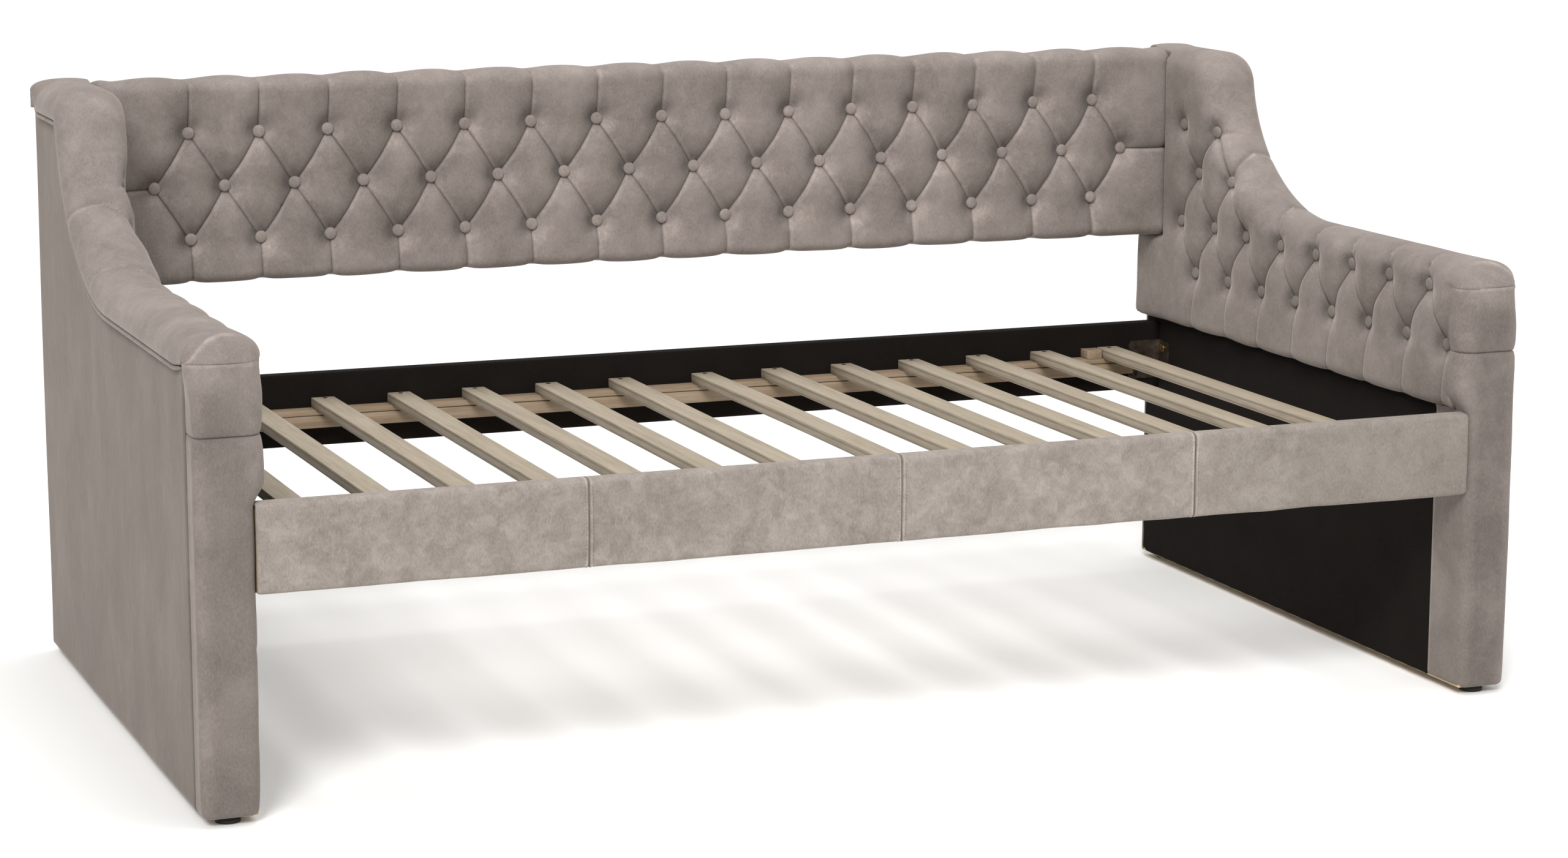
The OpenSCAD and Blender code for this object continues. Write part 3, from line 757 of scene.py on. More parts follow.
def makeArmPad(name, side, values, seed):
    crest, normals = crestLine(values)
    depth = rollDepth(crest[:, 0], values)
    rim = crest - normals * depth[:, None]
    buttons, pleats = armTufts(values, side)
    # the flat inner face
    low, spacing = values["lowZ"], values["spacing"]
    front, rear = values["faceFront"], values["faceRear"]
    rim[0] = (front, rim[0][1])
    bottom = [(v, low) for v in np.arange(rear, front, -spacing)] + [(front, low)]
    frontEdge = [(front, z) for z in np.arange(low + spacing, rim[0][1] - spacing * 0.5, spacing)]
    steps = int((rim[-1][1] - low) / spacing)
    rearEdge = [tuple(rim[-1] + (np.array([rear, low]) - rim[-1]) * k / steps) for k in range(1, steps)]
    outline = bottom + frontEdge + [tuple(p) for p in rim] + rearEdge
    flat, faces = flatMesh(outline, pleats, spacing)
    # the roll, one arch at each place along the crest
    rows = 46
    turn = np.linspace(math.pi, 0, rows)
    power = 2 / values["archPower"]
    middle, halfWidth = (values["crownX"] + values["outerX"]) / 2, (values["outerX"] - values["crownX"]) / 2
    archX = middle + halfWidth * np.sign(np.cos(turn)) * np.abs(np.cos(turn)) ** power
    archX = np.concatenate([archX, middle + halfWidth - np.array([0.0008, 0.003, 0.0065])])
    archN = np.concatenate([np.abs(np.sin(turn)) ** power, [0, 0, 0]])
    tuck = np.concatenate([np.zeros(rows), [0.003, 0.0052, 0.0056]])
    stations = len(crest)
    ids = np.zeros((len(archX), stations), int)
    ids[0] = [np.argmin(((flat - p) ** 2).sum(1)) for p in rim]
    ids[1:] = len(flat) + np.arange((len(archX) - 1) * stations).reshape(-1, stations)
    n = -depth[None] + depth[None] * archN[:, None] - tuck[:, None]
    nose = 1 - smoothStep(np.arange(stations), 0, 13)
    rollX = middle + (archX[:, None] - middle) * (1 - values["noseTaper"] * nose[None])
    stepX, stepN = np.gradient(rollX, axis=0), np.gradient(n, axis=0)
    length = np.hypot(stepX, stepN) + 1e-9
    outX, outN = -stepN / length, stepX / length
    girth = np.cumsum(np.hypot(np.diff(rollX, axis=0), np.diff(n, axis=0)), axis=0)
    walked = np.concatenate([np.zeros((1, stations)), girth])
    unrolled = rim[None] + walked[..., None] * normals[None]
    allFlat = np.vstack([flat, unrolled[1:].reshape(-1, 2)])
    lift = rise(allFlat, buttons, pleats, seed) + uneven(allFlat, seed + 5, 0.15, 0.04)
    slit, lap = creases(allFlat, pleats, tufting["slitWidth"], (1, 0.15))
    wideSlit, _ = creases(allFlat, pleats, 0.0028, (1, 0.15))
    slit[len(flat):] = 1.1 * wideSlit[len(flat):]
    # the roll is packed hard, so past its inner shoulder only the creases still show
    soft = np.ones(len(allFlat))
    soft[len(flat):] = 1 - 0.8 * smoothStep(walked[1:], 0.025, 0.085).reshape(-1)
    sink = values["depth"] * (1 - lift) * soft + tufting["slit"] * slit
    onFace = smoothStep(flat[:, 0], front, front + 0.02) * smoothStep(flat[:, 1], low, low + 0.03)
    toRim = np.min([np.linalg.norm(flat - p, axis=1) for p in rim[::3]], axis=0)
    lap = lap[:len(flat)] * (onFace * smoothStep(toRim, 0.003, 0.012))[:, None]
    faceSink, rollSink = sink[:len(flat)], sink[len(flat):].reshape(-1, stations)
    # inner face points
    faceX = values["crownX"] + np.minimum(faceSink, 0.0205)
    edge = np.clip((flat[:, 1] - low) / 0.015, 0, 1)
    faceX += 0.013 * rounded(1 - edge) + 0.003 * (1 - smoothStep(flat[:, 0], front, front + 0.03))
    faceZ = flat[:, 1] + 0.35 * faceSink * (1 - smoothStep(flat[:, 1], low, low + 0.05))
    faceFront = np.stack([np.minimum(faceX, values["innerX"] - 0.0008), flat[:, 0] + lap[:, 0],
                          faceZ + lap[:, 1]], 1)
    faceBack = np.stack([np.full(len(flat), values["innerX"] + 0.0005), flat[:, 0], faceZ], 1)
    # roll points
    fade = 1 - 0.7 * smoothStep(walked[1:], 0.10, 0.16)
    # a seam arches over the nose from its outer corner and dies away on the inner side
    across = np.clip((archX[1:] - values["crownX"]) / (values["outerX"] - values["crownX"]), 0, 1)[:, None]
    seamAt = 11.5 * np.sin(math.pi * np.clip(1 - across, 0, 0.62) / 1.24) ** 0.8
    onSeam = fallOff(np.arange(stations)[None] - seamAt, 1.0) * smoothStep(across, 0.15, 0.5)
    rollSink = rollSink - 0.0015 * onSeam
    if side > 0:
        # the swoop of the right arm was stretched by hand and kept a few wrinkles, 16 mm apart
        pulled = fallOff(crest[:, 0] - 0.165, 0.035)[None] * fallOff(across - 0.32, 0.28)
        waves = np.sin(walkedLength(crest)[None] * 2 * math.pi / 0.016 + 4 * across)
        rollSink = rollSink + 0.0010 * waves * pulled
    rx = rollX[1:] - outX[1:] * rollSink * fade
    rn = n[1:] - outN[1:] * rollSink * fade
    rollYZ = crest[None] + rn[..., None] * normals[None]
    rollFront = np.dstack([rx, rollYZ])
    backN = -depth[None] + (n[1:] + depth[None]) * 0.06
    backX = middle + (rollX[1:] - middle) * 0.59
    backN = np.minimum(backN, -depth[None] + 0.004)
    rollBack = np.dstack([backX, crest[None] + backN[..., None] * normals[None]])
    frontAll = np.vstack([faceFront, rollFront.reshape(-1, 3)])
    backAll = np.vstack([faceBack, rollBack.reshape(-1, 3)])
    # behind the back panel's end the pad is cut back to leave room for the panel
    behind = np.clip((frontAll[:, 1] - (values["panelY"] - 0.019)) / 0.018, 0, 1)
    behind *= smoothStep(frontAll[:, 2], 0.598, 0.608)
    cut = values["crownX"] + (values["panelX"] - values["crownX"]) * rounded(behind)
    frontAll[:, 0] = np.where(behind > 0, np.maximum(frontAll[:, 0], cut), frontAll[:, 0])
    allFaces = [tuple(reversed(f)) for f in faces]
    for i in range(len(archX) - 1):
        for j in range(stations - 1):
            corners = (ids[i, j], ids[i + 1, j], ids[i + 1, j + 1], ids[i, j + 1])
            allFaces.append(tuple(int(v) for v in corners))
    if side < 0:
        frontAll[:, 0] *= -1
        backAll[:, 0] *= -1
        allFaces = [tuple(reversed(f)) for f in allFaces]
    seats = [seatOf(frontAll, allFlat, spot, (-side, 0, 0)) for spot in buttons]
    piece = closeBehind(name, frontAll, backAll, allFaces, velvet)
    # painted shade and highlight round the pleats and buttons, as if lit from the given side, and a painted
    # highlight along the seam over the nose
    tone = paintedShadeAndHighlight(allFlat, buttons, pleats, (0.75, 0.65) if side > 0 else (-0.6, 0.8))
    tone[len(flat):] += (1.1 * onSeam).reshape(-1)
    addNapAndPaintedLight(piece, np.tile(np.clip(tone, -1, 1), 2))
    return piece, seats


armSeats = {}
for word, side in sides:
    pad, armSeats[word] = makeArmPad(word + "ArmPad", side, arm, 21 if side > 0 else 47)
    place(pad, "velvet", word + "_arm_pad", fill=0.7)
print("arm pads tufted", len(pad.data.polygons))


buttonShape = {"radius": 0.0102, "thick": 0.0036, "rim": 0.0012, "lean": 4, "proud": 0.0004,
               "above": 0.0018}


def oneButton(values):
    # a covered button: a low cylinder whose top is inset and raised in steps into a dome
    bpy.ops.object.select_all(action="DESELECT")
    bpy.ops.mesh.primitive_cylinder_add(vertices=28, radius=values["radius"], depth=values["thick"])
    button = bpy.context.object
    bpy.ops.object.mode_set(mode="EDIT")
    bpy.ops.mesh.select_all(action="DESELECT")
    bpy.ops.object.mode_set(mode="OBJECT")
    for face in button.data.polygons:
        face.select = face.normal.z > 0.9
    bpy.ops.object.mode_set(mode="EDIT")
    for inset, up in ((0.0016, 0.0011), (0.0026, 0.0008), (0.0028, 0.0003)):
        bpy.ops.mesh.inset(thickness=inset, depth=0)
        bpy.ops.transform.translate(value=(0, 0, up))
    bpy.ops.mesh.poke()
    bpy.ops.object.mode_set(mode="OBJECT")
    easeEdges(button, values["rim"])
    button.data.shade_smooth()
    return button


def placeButtons(name, seats, node, paintedLightTone):
    rng = np.random.default_rng(len(name) + len(seats))
    matrices = []
    for centre, normal in seats:
        lean = [math.radians(buttonShape["lean"]) * v for v in rng.normal(size=2)]
        facing = normal.to_track_quat("Z", "Y").to_matrix().to_4x4()
        # its cloth drags each one a little above the middle of its pit
        centre = centre + normal * buttonShape["proud"] + Vector((0, 0, buttonShape["above"]))
        matrices.append(Matrix.Translation(centre) @ facing
                        @ Matrix.Rotation(lean[0], 4, "X") @ Matrix.Rotation(lean[1], 4, "Y"))
    group = joined(name, copied(oneButton(buttonShape), matrices), velvet)
    # each button is painted one tone: paler as a painted highlight on the back, darker as painted shade on
    # the arms
    addNapAndPaintedLight(group, np.full(len(group.data.vertices), paintedLightTone))
    place(group, "velvet", node)


placeButtons("backButtons", backSeats, "back_buttons", 0.35)
for word, _ in sides:
    placeButtons(word + "ArmButtons", armSeats[word], word + "_arm_buttons", -0.3)
print("buttons sewn on")


# Cloth over a frame is a grid of points, rows by columns, given a wall and so closed all round.
def clothShell(name, grid, wall, material, side=1, around=False):
    grid = np.array(grid, float)
    grid[..., 0] *= side
    rows, columns = grid.shape[:2]
    faces = []
    for i in range(rows - 1):
        for j in range(columns if around else columns - 1):
            k = (j + 1) % columns
            face = (i * columns + j, i * columns + k, (i + 1) * columns + k, (i + 1) * columns + j)
            faces.append(face if side > 0 else face[::-1])
    piece = meshPiece(name, grid.reshape(-1, 3), faces, material)
    solid = piece.modifiers.new("wall", "SOLIDIFY")
    solid.thickness, solid.offset = wall, -1
    applyModifiers(piece)
    return piece


def spread(points, count):
    # the same line, cut into equal steps
    points = np.asarray(points, float)
    walked = walkedLength(points)
    steps = np.linspace(0, walked[-1], count)
    return np.stack([np.interp(steps, walked, points[:, k]) for k in range(points.shape[1])], 1)


def bend(centre, radius, start, end, count=9):
    # points on an arc, with its angles in degrees
    angles = np.radians(np.linspace(start, end, count))
    return [(centre[0] + radius * math.cos(a), centre[1] + radius * math.sin(a)) for a in angles]


frontWrap = {
    "low": 0.012, "top": 0.6500, "frontY": -0.5535, "topFrontY": -0.5556, "outerX": 1.045, "innerX": 0.963,
    "underPadX": 0.9462, "padLow": 0.455,
    "returnY": -0.455, "cornerY": -0.517, "outerEndY": -0.500, "pleatZ": 0.549, "wall": 0.002,
    "columns": 58, "bulge": 0.0028,
    "topHalf": 0.0528, "topMiddle": 0.9982,
}


def wrapLine(z, values):
    # the plan of the wrap at one height: an inner strip, then round the front to the outer side
    lift = smoothStep(z, values["padLow"] - 0.008, values["padLow"] + 0.03)
    innerX = values["innerX"] + (values["underPadX"] - values["innerX"]) * lift
    start = values["returnY"] if z < values["padLow"] - 0.001 else values["cornerY"] + 0.001
    front, outer = values["frontY"], values["outerX"]
    inner, rim = 0.017 + 0.012 * float(smoothStep(z, 0.40, 0.62)), 0.014
    low = [(innerX, values["cornerY"])]
    low += bend((innerX + inner, front + inner), inner, 180, 270)
    low += bend((outer - rim, front + rim), rim, 270, 360)
    low += [(outer, values["outerEndY"] - 0.004), (outer - 0.002, values["outerEndY"])]
    arch = np.linspace(math.pi, 0, 40)
    power = 2 / arm["archPower"]
    topDepth = values["cornerY"] - values["topFrontY"]
    high = [(values["topMiddle"] + values["topHalf"] * np.sign(math.cos(a)) * abs(math.cos(a)) ** power,
             values["cornerY"] - topDepth * abs(math.sin(a)) ** power) for a in arch]
    high += [(outer + 0.001, values["outerEndY"] - 0.004), (outer - 0.002, values["outerEndY"])]
    mix = float(smoothStep(z, 0.585, 0.645))
    line = (1 - mix) * spread(low, values["columns"]) + mix * spread(high, values["columns"])
    strip = np.stack([np.full(9, line[0, 0]), np.linspace(start, values["cornerY"], 10)[:-1]], 1)
    return np.vstack([strip, line])


def makeFrontWrap(name, side, values, seed):
    pleat = values["pleatZ"]
    levels = np.concatenate([np.linspace(values["low"], values["low"] + 0.012, 5),
                             np.linspace(values["low"] + 0.02, pleat - 0.016, 66),
                             pleat + np.array([-0.011, -0.007, -0.004, -0.002, -0.0008, 0, 0.0006, 0.0016,
                                               0.0035, 0.0065, 0.011, 0.016]),
                             np.linspace(pleat + 0.022, values["top"] - 0.012, 12),
                             np.linspace(values["top"] - 0.009, values["top"], 6)])
    levels = np.sort(np.concatenate([levels, [values["padLow"] - 0.002, values["padLow"]]]))
    grid = []
    for z in levels:
        line = wrapLine(z, values)
        out = outOf(line)
        across = np.clip((line[:, 0] - 0.955) / 0.085, 0, 1)
        front = smoothStep(-line[:, 1], 0.515, 0.545)
        # filling swells between the sewn lines and dips at them
        swell = 1 - 0.9 * fallOff(z - pleat, 0.018) - 0.8 * fallOff(z - values["top"], 0.014)
        swell -= fallOff(z - values["low"], 0.02)
        offset = values["bulge"] * swell * front * (0.45 + 0.55 * np.sin(math.pi * across))
        above, below = float(smoothStep(z, 0.44, 0.50)), 1 - float(smoothStep(z, 0.60, 0.64))
        offset += 0.0045 * swell * (1 - front) * (line[:, 0] < 0.97) * above * below
        sewn = 0.0022 * fallOff(z - pleat, 0.006) + 0.0034 * fallOff(z - pleat, 0.0012)
        offset -= sewn * (0.35 + 0.65 * front)
        lip = 0.0018 * fallOff(z - values["top"] + 0.0030, 0.0022)
        offset += lip * (1 - smoothStep(1 - across, 0.6, 0.85)) * front
        offset -= 0.006 * rounded(1 - (z - values["low"]) / 0.010)
        places = np.stack([line[:, 0], line[:, 1], np.full(len(line), z)], 1)
        offset += uneven(places, seed, 0.14, 0.0007) * front
        # a slack fold low on the front, beside its inner corner
        fold = 0.0016 * fallOff(z - 0.243 - 0.02 * across, 0.005)
        offset -= fold * (1 - smoothStep(across, 0.05, 0.35)) * front
        places[:, :2] += out * offset[:, None]
        places[:, 2] -= 0.0012 * fallOff(z - pleat - 0.0016, 0.002)
        grid.append(places)
    return clothShell(name, grid, values["wall"], velvet, side)


for word, side in sides:
    wrap = makeFrontWrap(word + "ArmFrontWrap", side, frontWrap, 5 + side)
    # brushed downward, so it looks darker than the roll, but not right beside its seams; the right one is
    # darker still as painted shade, and the pale line along its top seam is a painted highlight
    spots = pointsOf(wrap)
    away = np.abs(spots[:, 0])
    across = smoothStep(away, 0.950, 0.985) * (1 - 0.75 * smoothStep(away, 1.020, 1.043))
    shade = (-0.42 if side < 0 else -0.72) * across * smoothStep(-spots[:, 2], -0.642, -0.600)
    addNapAndPaintedLight(wrap, shade + 0.5 * fallOff(spots[:, 2] - 0.6465, 0.0028))
    place(wrap, "velvet", word + "_arm_front_wrap")
print("front wraps sewn", len(wrap.data.polygons))


outerCover = {"low": 0.012, "faceX": 1.0452, "frontY": -0.4995, "rearY": 0.5548, "innerX": 0.9655,
              "returnY": 0.541, "corner": 0.010,
              "padLow": 0.455, "wall": 0.0022, "rows": 64}


def topEdge(y, below=0.0):
    # height of the seam under the roll
    crest, normals = crestLine(arm)
    keep = (crest[:, 0] > arm["frontY"] + arm["noseR"]) & (crest[:, 0] < arm["rearY"] - arm["rearR"])
    rim = (crest - normals * (rollDepth(crest[:, 0], arm) + below)[:, None])[keep]
    return np.interp(y, rim[:, 0], rim[:, 1])


def makeOuterCover(name, side, values, seed):
    x, corner = values["faceX"], values["corner"]
    along = np.concatenate([[values["frontY"], values["frontY"] + 0.002, values["frontY"] + 0.005],
                            np.arange(-0.488, -0.03, 0.011),
                            np.arange(-0.03, 0.345, 0.004),
                            np.arange(0.35, values["rearY"] - corner, 0.008)])
    plan = [(x, y) for y in along]
    plan += bend((x - corner, values["rearY"] - corner), corner, 0, 90, 7)
    plan += [(v, values["rearY"]) for v in np.linspace(x - corner, values["innerX"] + corner, 10)[1:-1]]
    plan += bend((values["innerX"] + corner, values["rearY"] - corner), corner, 90, 180, 7)
    plan += [(values["innerX"], v) for v in np.linspace(values["rearY"] - corner, values["returnY"], 3)[1:]]
    plan = np.array(plan)
    top = topEdge(plan[:, 1], 0.005)
    top[plan[:, 0] < values["innerX"] + 0.002] = values["padLow"]
    out = outOf(plan)
    shares = np.concatenate([[0, 0.004, 0.009, 0.016], np.linspace(0.03, 0.975, values["rows"]),
                             [0.985, 0.992, 1.0]])
    grid = []
    for share in shares:
        z = values["low"] + (top - values["low"]) * share
        places = np.stack([plan[:, 0], plan[:, 1], z], 1)
        edge = np.minimum(z - values["low"], np.minimum(top - z, plan[:, 1] - values["frontY"]))
        offset = -0.003 * rounded(1 - edge / 0.006) + uneven(places * [1, 1.0, 0.45], seed, 0.16, 0.0006)
        # slack runs down from the swoop and lifts the cloth a little near the front seam
        offset += 0.0012 * fallOff(plan[:, 1] + 0.42, 0.05) * smoothStep(share, 0.1, 0.7)
        places[:, :2] += out * offset[:, None]
        grid.append(places)
    return clothShell(name, grid, values["wall"], velvetPanel, side)


for word, side in sides:
    cover = makeOuterCover(word + "ArmOuterCover", side, outerCover, 31 + side)
    place(cover, "velvet", word + "_arm_outer_cover")
print("outer covers stretched", len(cover.data.polygons))


welt = {"radius": 0.0034, "x": 1.0490, "below": 0.0096, "frontY": -0.499, "rearY": 0.549, "sides": 10}


def makeWelt(name, side, values):
    # piping under the roll: a cord in cloth, slightly lumpy where it is stitched
    ys = np.concatenate([np.arange(values["frontY"], -0.03, 0.006), np.arange(-0.03, 0.345, 0.0024),
                         np.arange(0.346, values["rearY"], 0.006)])
    line = np.stack([np.full(len(ys), values["x"]), ys, topEdge(ys, values["below"])], 1)
    line[:4, 0] -= np.array([0.004, 0.002, 0.0008, 0.0002])
    line[-4:, 0] -= np.array([0.0002, 0.0008, 0.002, 0.004])
    line = spread(line, 340)
    way = np.gradient(line, axis=0)
    way /= np.linalg.norm(way, axis=1)[:, None]
    sideways = np.cross(way, [1, 0, 0])
    grid = []
    turns = np.linspace(0, 2 * math.pi, values["sides"], endpoint=False)
    rng = np.random.default_rng(8)
    lumps = 1 + 0.05 * np.sin(np.arange(len(line)) * 0.9) + 0.04 * rng.normal(size=len(line))
    for k, point in enumerate(line):
        ends = min(k, len(line) - 1 - k)
        radius = values["radius"] * lumps[k] * min(1, 0.45 + 0.2 * ends)
        grid.append([point + radius * (math.cos(a) * np.array([1, 0, 0]) + math.sin(a) * sideways[k])
                     for a in turns])
    grid = np.array(grid)
    count = values["sides"]
    faces = [(i * count + j, (i + 1) * count + j, (i + 1) * count + (j + 1) % count,
              i * count + (j + 1) % count)
             for i in range(len(grid) - 1) for j in range(count)]
    faces += [tuple(range(count)), tuple((len(grid) - 1) * count + j for j in reversed(range(count)))]
    grid[..., 0] *= side
    piece = meshPiece(name, grid.reshape(-1, 3), faces, velvet)
    outward(piece)
    return piece


for word, side in sides:
    place(makeWelt(word + "ArmWelt", side, welt), "velvet", word + "_arm_welt")
print("welts piped")


dustCover = {"x": 0.9646, "frontY": -0.4535, "rearY": 0.5400, "low": 0.0135, "top": 0.4535, "wall": 0.0006}


def makeDustCover(name, side, values, seed):
    ys = np.concatenate([values["rearY"] - np.array([0, 0.002, 0.005]),
                         np.linspace(values["rearY"] - 0.012, values["frontY"] + 0.006, 84),
                         [values["frontY"]]])
    zs = np.concatenate([values["low"] + np.array([0, 0.002, 0.005]),
                         np.linspace(values["low"] + 0.012, values["top"], 40)])
    grid = []
    for z in zs:
        places = np.stack([np.full(len(ys), values["x"]), ys, np.full(len(ys), z)], 1)
        edge = np.minimum(np.minimum(z - values["low"], values["top"] - z),
                          np.minimum(values["rearY"] - ys, ys - values["frontY"]))
        slack = 0.0003 + uneven(places * [1, 0.8, 1.5], seed, 0.13, 0.0007) * smoothStep(edge, 0, 0.03)
        # it puckers a little between its staples, every 50 mm along the edges
        slack += 0.0005 * np.sin((ys + z) * 2 * math.pi / 0.05) * fallOff(edge, 0.012)
        places[:, 0] -= np.maximum(slack, -0.0002)
        # the lower rear corner is folded under
        places[:, 2] += np.maximum(0, 0.012 - (values["rearY"] - ys) - (z - values["low"])) * 0.5
        grid.append(places)
    return clothShell(name, grid, values["wall"], cambric, side)


for word, side in sides:
    cover = makeDustCover(word + "ArmDustCover", side, dustCover, 61 + side)
    place(cover, "cambric", word + "_arm_dust_cover")
print("dust covers stapled")


# A tube of cloth round a board. The loop is its section in Y and Z, walked with the outside on the right.
def clothTube(name, loop, stations, shape, wall, material):
    loop = np.asarray(loop, float)
    way = np.roll(loop, -1, axis=0) - np.roll(loop, 1, axis=0)
    out = np.stack([way[:, 1], -way[:, 0]], 1) / np.linalg.norm(way, axis=1)[:, None]
    grid = []
    for x in stations:
        offset = shape(x, loop)
        ring = loop + out * offset[:, None]
        grid.append(np.stack([np.full(len(loop), x), ring[:, 0], ring[:, 1]], 1))
    return clothShell(name, grid, wall, material, 1, True)


def roundedLoop(low, high, radii, step):
    # radii at the low-low, high-low, high-high and low-high corners of a section in Y and Z
    (y0, z0), (y1, z1), (a, b, c, d) = low, high, radii
    loop = bend((y0 + a, z0 + a), a, 180, 270, 6) + bend((y1 - b, z0 + b), b, 270, 360, 6)
    loop += bend((y1 - c, z1 - c), c, 0, 90, 6) + bend((y0 + d, z1 - d), d, 90, 180, 6)
    points = []
    for a, b in zip(loop, loop[1:] + loop[:1]):
        count = max(1, round(math.dist(a, b) / step))
        points += [(a[0] + (b[0] - a[0]) * k / count, a[1] + (b[1] - a[1]) * k / count)
                   for k in range(count)]
    return points


frontRail = {"half": 0.9618, "low": (-0.5545, 0.3253), "high": (-0.5303, 0.4547),
             "seams": (-0.4825, 0.0, 0.4825), "stitchGap": 0.0056,
             "seed": 77, "wall": 0.0008, "stitch": 0.0036, "stitchPitch": 0.0052, "bow": 0.0016}


def railStations(values):
    stations = list(np.linspace(-values["half"], values["half"], 330))
    for seam in values["seams"]:
        stations = [x for x in stations if abs(x - seam) > 0.0095]
        stations += [seam + s for s in (-0.0085, -0.0068, -0.0056, -0.0042, -0.0026, -0.0012, -0.0004,
                                        0.0004, 0.0012, 0.0026, 0.0042, 0.0056, 0.0068, 0.0085)]
    for end in (-1, 1):
        stations += [end * (values["half"] - s) for s in (0.0008, 0.0018, 0.0034)]
    return np.sort(np.array(stations))


def seamBow(k, z, values):
    # a seam bows a millimetre or two between the edges of the rail
    return values["bow"] * math.sin(k + 1) * np.sin((z - values["low"][1]) / 0.13 * math.pi)


def frontRailShape(x, loop):
    values = frontRail
    outside = smoothStep(-loop[:, 0], 0.533, 0.540)          # the inner face lies tight on its board
    end = values["half"] - abs(x)
    offset = -0.0035 * rounded(1 - end / 0.006) * outside
    places = np.stack([np.full(len(loop), x * 0.6), loop[:, 0], loop[:, 1]], 1)
    seed = values["seed"]
    offset += (uneven(places, seed, 0.10, 0.0006) + uneven(places, seed + 1, 0.03, 0.00022)) * outside
    for k, seam in enumerate(values["seams"]):
        bowed = x - seam - seamBow(k, loop[:, 1], values)
        offset += outside * (0.0007 * fallOff(np.abs(bowed) - 0.003, 0.003)
                             - 0.0026 * fallOff(bowed, 0.0009)
                             - 0.0006 * fallOff(np.abs(bowed) - values["stitchGap"], 0.0012))
    return offset


railLoop = roundedLoop(frontRail["low"], frontRail["high"], (0.0075, 0.003, 0.003, 0.0095), 0.006)
railCover = clothTube("frontRailCover", railLoop, railStations(frontRail), frontRailShape,
                      frontRail["wall"], velvetRailPaintedSheen)
outward(railCover)
alongRail = pointsOf(railCover)[:, 0]
# darker in each seam, paler just beside it, and darker towards the right end
addNapAndPaintedLight(railCover, -0.4 * smoothStep(alongRail, 0.3, 0.95)
       + sum(0.6 * fallOff(np.abs(alongRail - s) - 0.0040, 0.0018) - 1.3 * fallOff(alongRail - s, 0.0013)
             for s in frontRail["seams"]))
place(railCover, "velvet", "front_rail_cover")


def makeStitches(name, values):
    # thread stands proud of the cloth in short bars, a row on each side of every seam
    bpy.ops.object.select_all(action="DESELECT")
    bpy.ops.mesh.primitive_cylinder_add(vertices=6, radius=0.00042, depth=values["stitch"] * 0.6)
    stitch = bpy.context.object
    for end in (-1, 1):
        for face in stitch.data.polygons:
            face.select = face.normal.z * end > 0.9
        bpy.ops.object.mode_set(mode="EDIT")
        taper = end * values["stitch"] * 0.2
        bpy.ops.mesh.extrude_region_move(TRANSFORM_OT_translate={"value": (0, 0, taper)})
        bpy.ops.transform.resize(value=(0.45, 0.45, 1))
        bpy.ops.mesh.select_all(action="DESELECT")
        bpy.ops.object.mode_set(mode="OBJECT")
    matrices = []
    low, high, y = values["low"][1] + 0.008, values["high"][1] - 0.010, values["low"][0] - 0.0003
    for k, seam in enumerate(values["seams"]):
        for z in np.arange(low, high, values["stitchPitch"]):
            x = seam + seamBow(k, z, values)
            for way in (-1, 1):
                matrices.append(Matrix.Translation((x + way * values["stitchGap"], y, z)))
    outward(stitch)
    return joined(name, copied(stitch, matrices), velvet)


place(makeStitches("frontRailStitches", frontRail), "velvet")
print("front rail covered", len(railCover.data.polygons))


rearRail = {"half": 0.9618, "innerY": 0.4918, "outerY": 0.5165, "low": 0.3253, "top": 0.4458}


def makeRearLining(values):
    # black cloth folded over the top of the rear board and down its inner face
    path = [(values["outerY"] + 0.0010, values["top"] - 0.006),
            (values["outerY"] + 0.0010, values["top"] + 0.0004)]
    path += bend((values["innerY"] + 0.0016, values["top"] - 0.0012), 0.0016, 90, 180, 5)
    path += [(values["innerY"], z) for z in np.linspace(values["top"] - 0.006, values["low"], 26)]
    path = np.array(path)
    grid = []
    for x in np.linspace(-values["half"], values["half"], 150):
        ripple = uneven(np.stack([np.full(len(path), x), path[:, 0], path[:, 1]], 1), 5, 0.2, 0.00025)
        laid = path[:, 0] - np.maximum(ripple, -0.0001)
        grid.append(np.stack([np.full(len(path), x), laid, path[:, 1]], 1))
    return clothShell("rearRailLining", grid, 0.0006, cambric)


lining = makeRearLining(rearRail)
outward(lining)
place(lining, "cambric", "back_rail_lining")


def fineEnds(low, high, count):
    # equal steps, with closer ones at both ends where the edge turns in
    fine = np.array([0, 0.0012, 0.003])
    return np.concatenate([low + fine, np.linspace(low + 0.008, high - 0.008, count), high - fine[::-1]])


def makeRearPanel(name, low, high, y, thick, radius, seed, sag, material):
    # a flat panel of cloth seen from behind, its edges turned in by their radius
    half = high[0]
    xs, zs = fineEnds(-half, half, 150), fineEnds(low[1], high[1], 26)
    grid = []
    for z in zs:
        places = np.stack([xs, np.full(len(xs), y), np.full(len(xs), z)], 1)
        edge = np.minimum(half - np.abs(xs), min(z - low[1], high[1] - z))
        turn = radius * rounded(1 - edge / radius)
        places[:, 1] += uneven(places * [0.7, 1, 1], seed, 0.18, sag) * smoothStep(edge, 0, 0.02) - turn
        grid.append(places[::-1])
    return clothShell(name, grid, thick, material)


rearPanel = makeRearPanel("rearRailCover", (-0.9618, 0.3253), (0.9618, 0.4448), 0.5164, 0.0018, 0.0016, 13,
                          0.0003, velvetPanel)
place(rearPanel, "velvet", "back_rail_cover")
backCover = makeRearPanel("backCover", (-0.9595, 0.6105), (0.9595, 0.9175), 0.5546, 0.0024, 0.005, 17,
                          0.0008, velvetPanel)
place(backCover, "velvet", "back_cover")
print("rear cloths stretched")


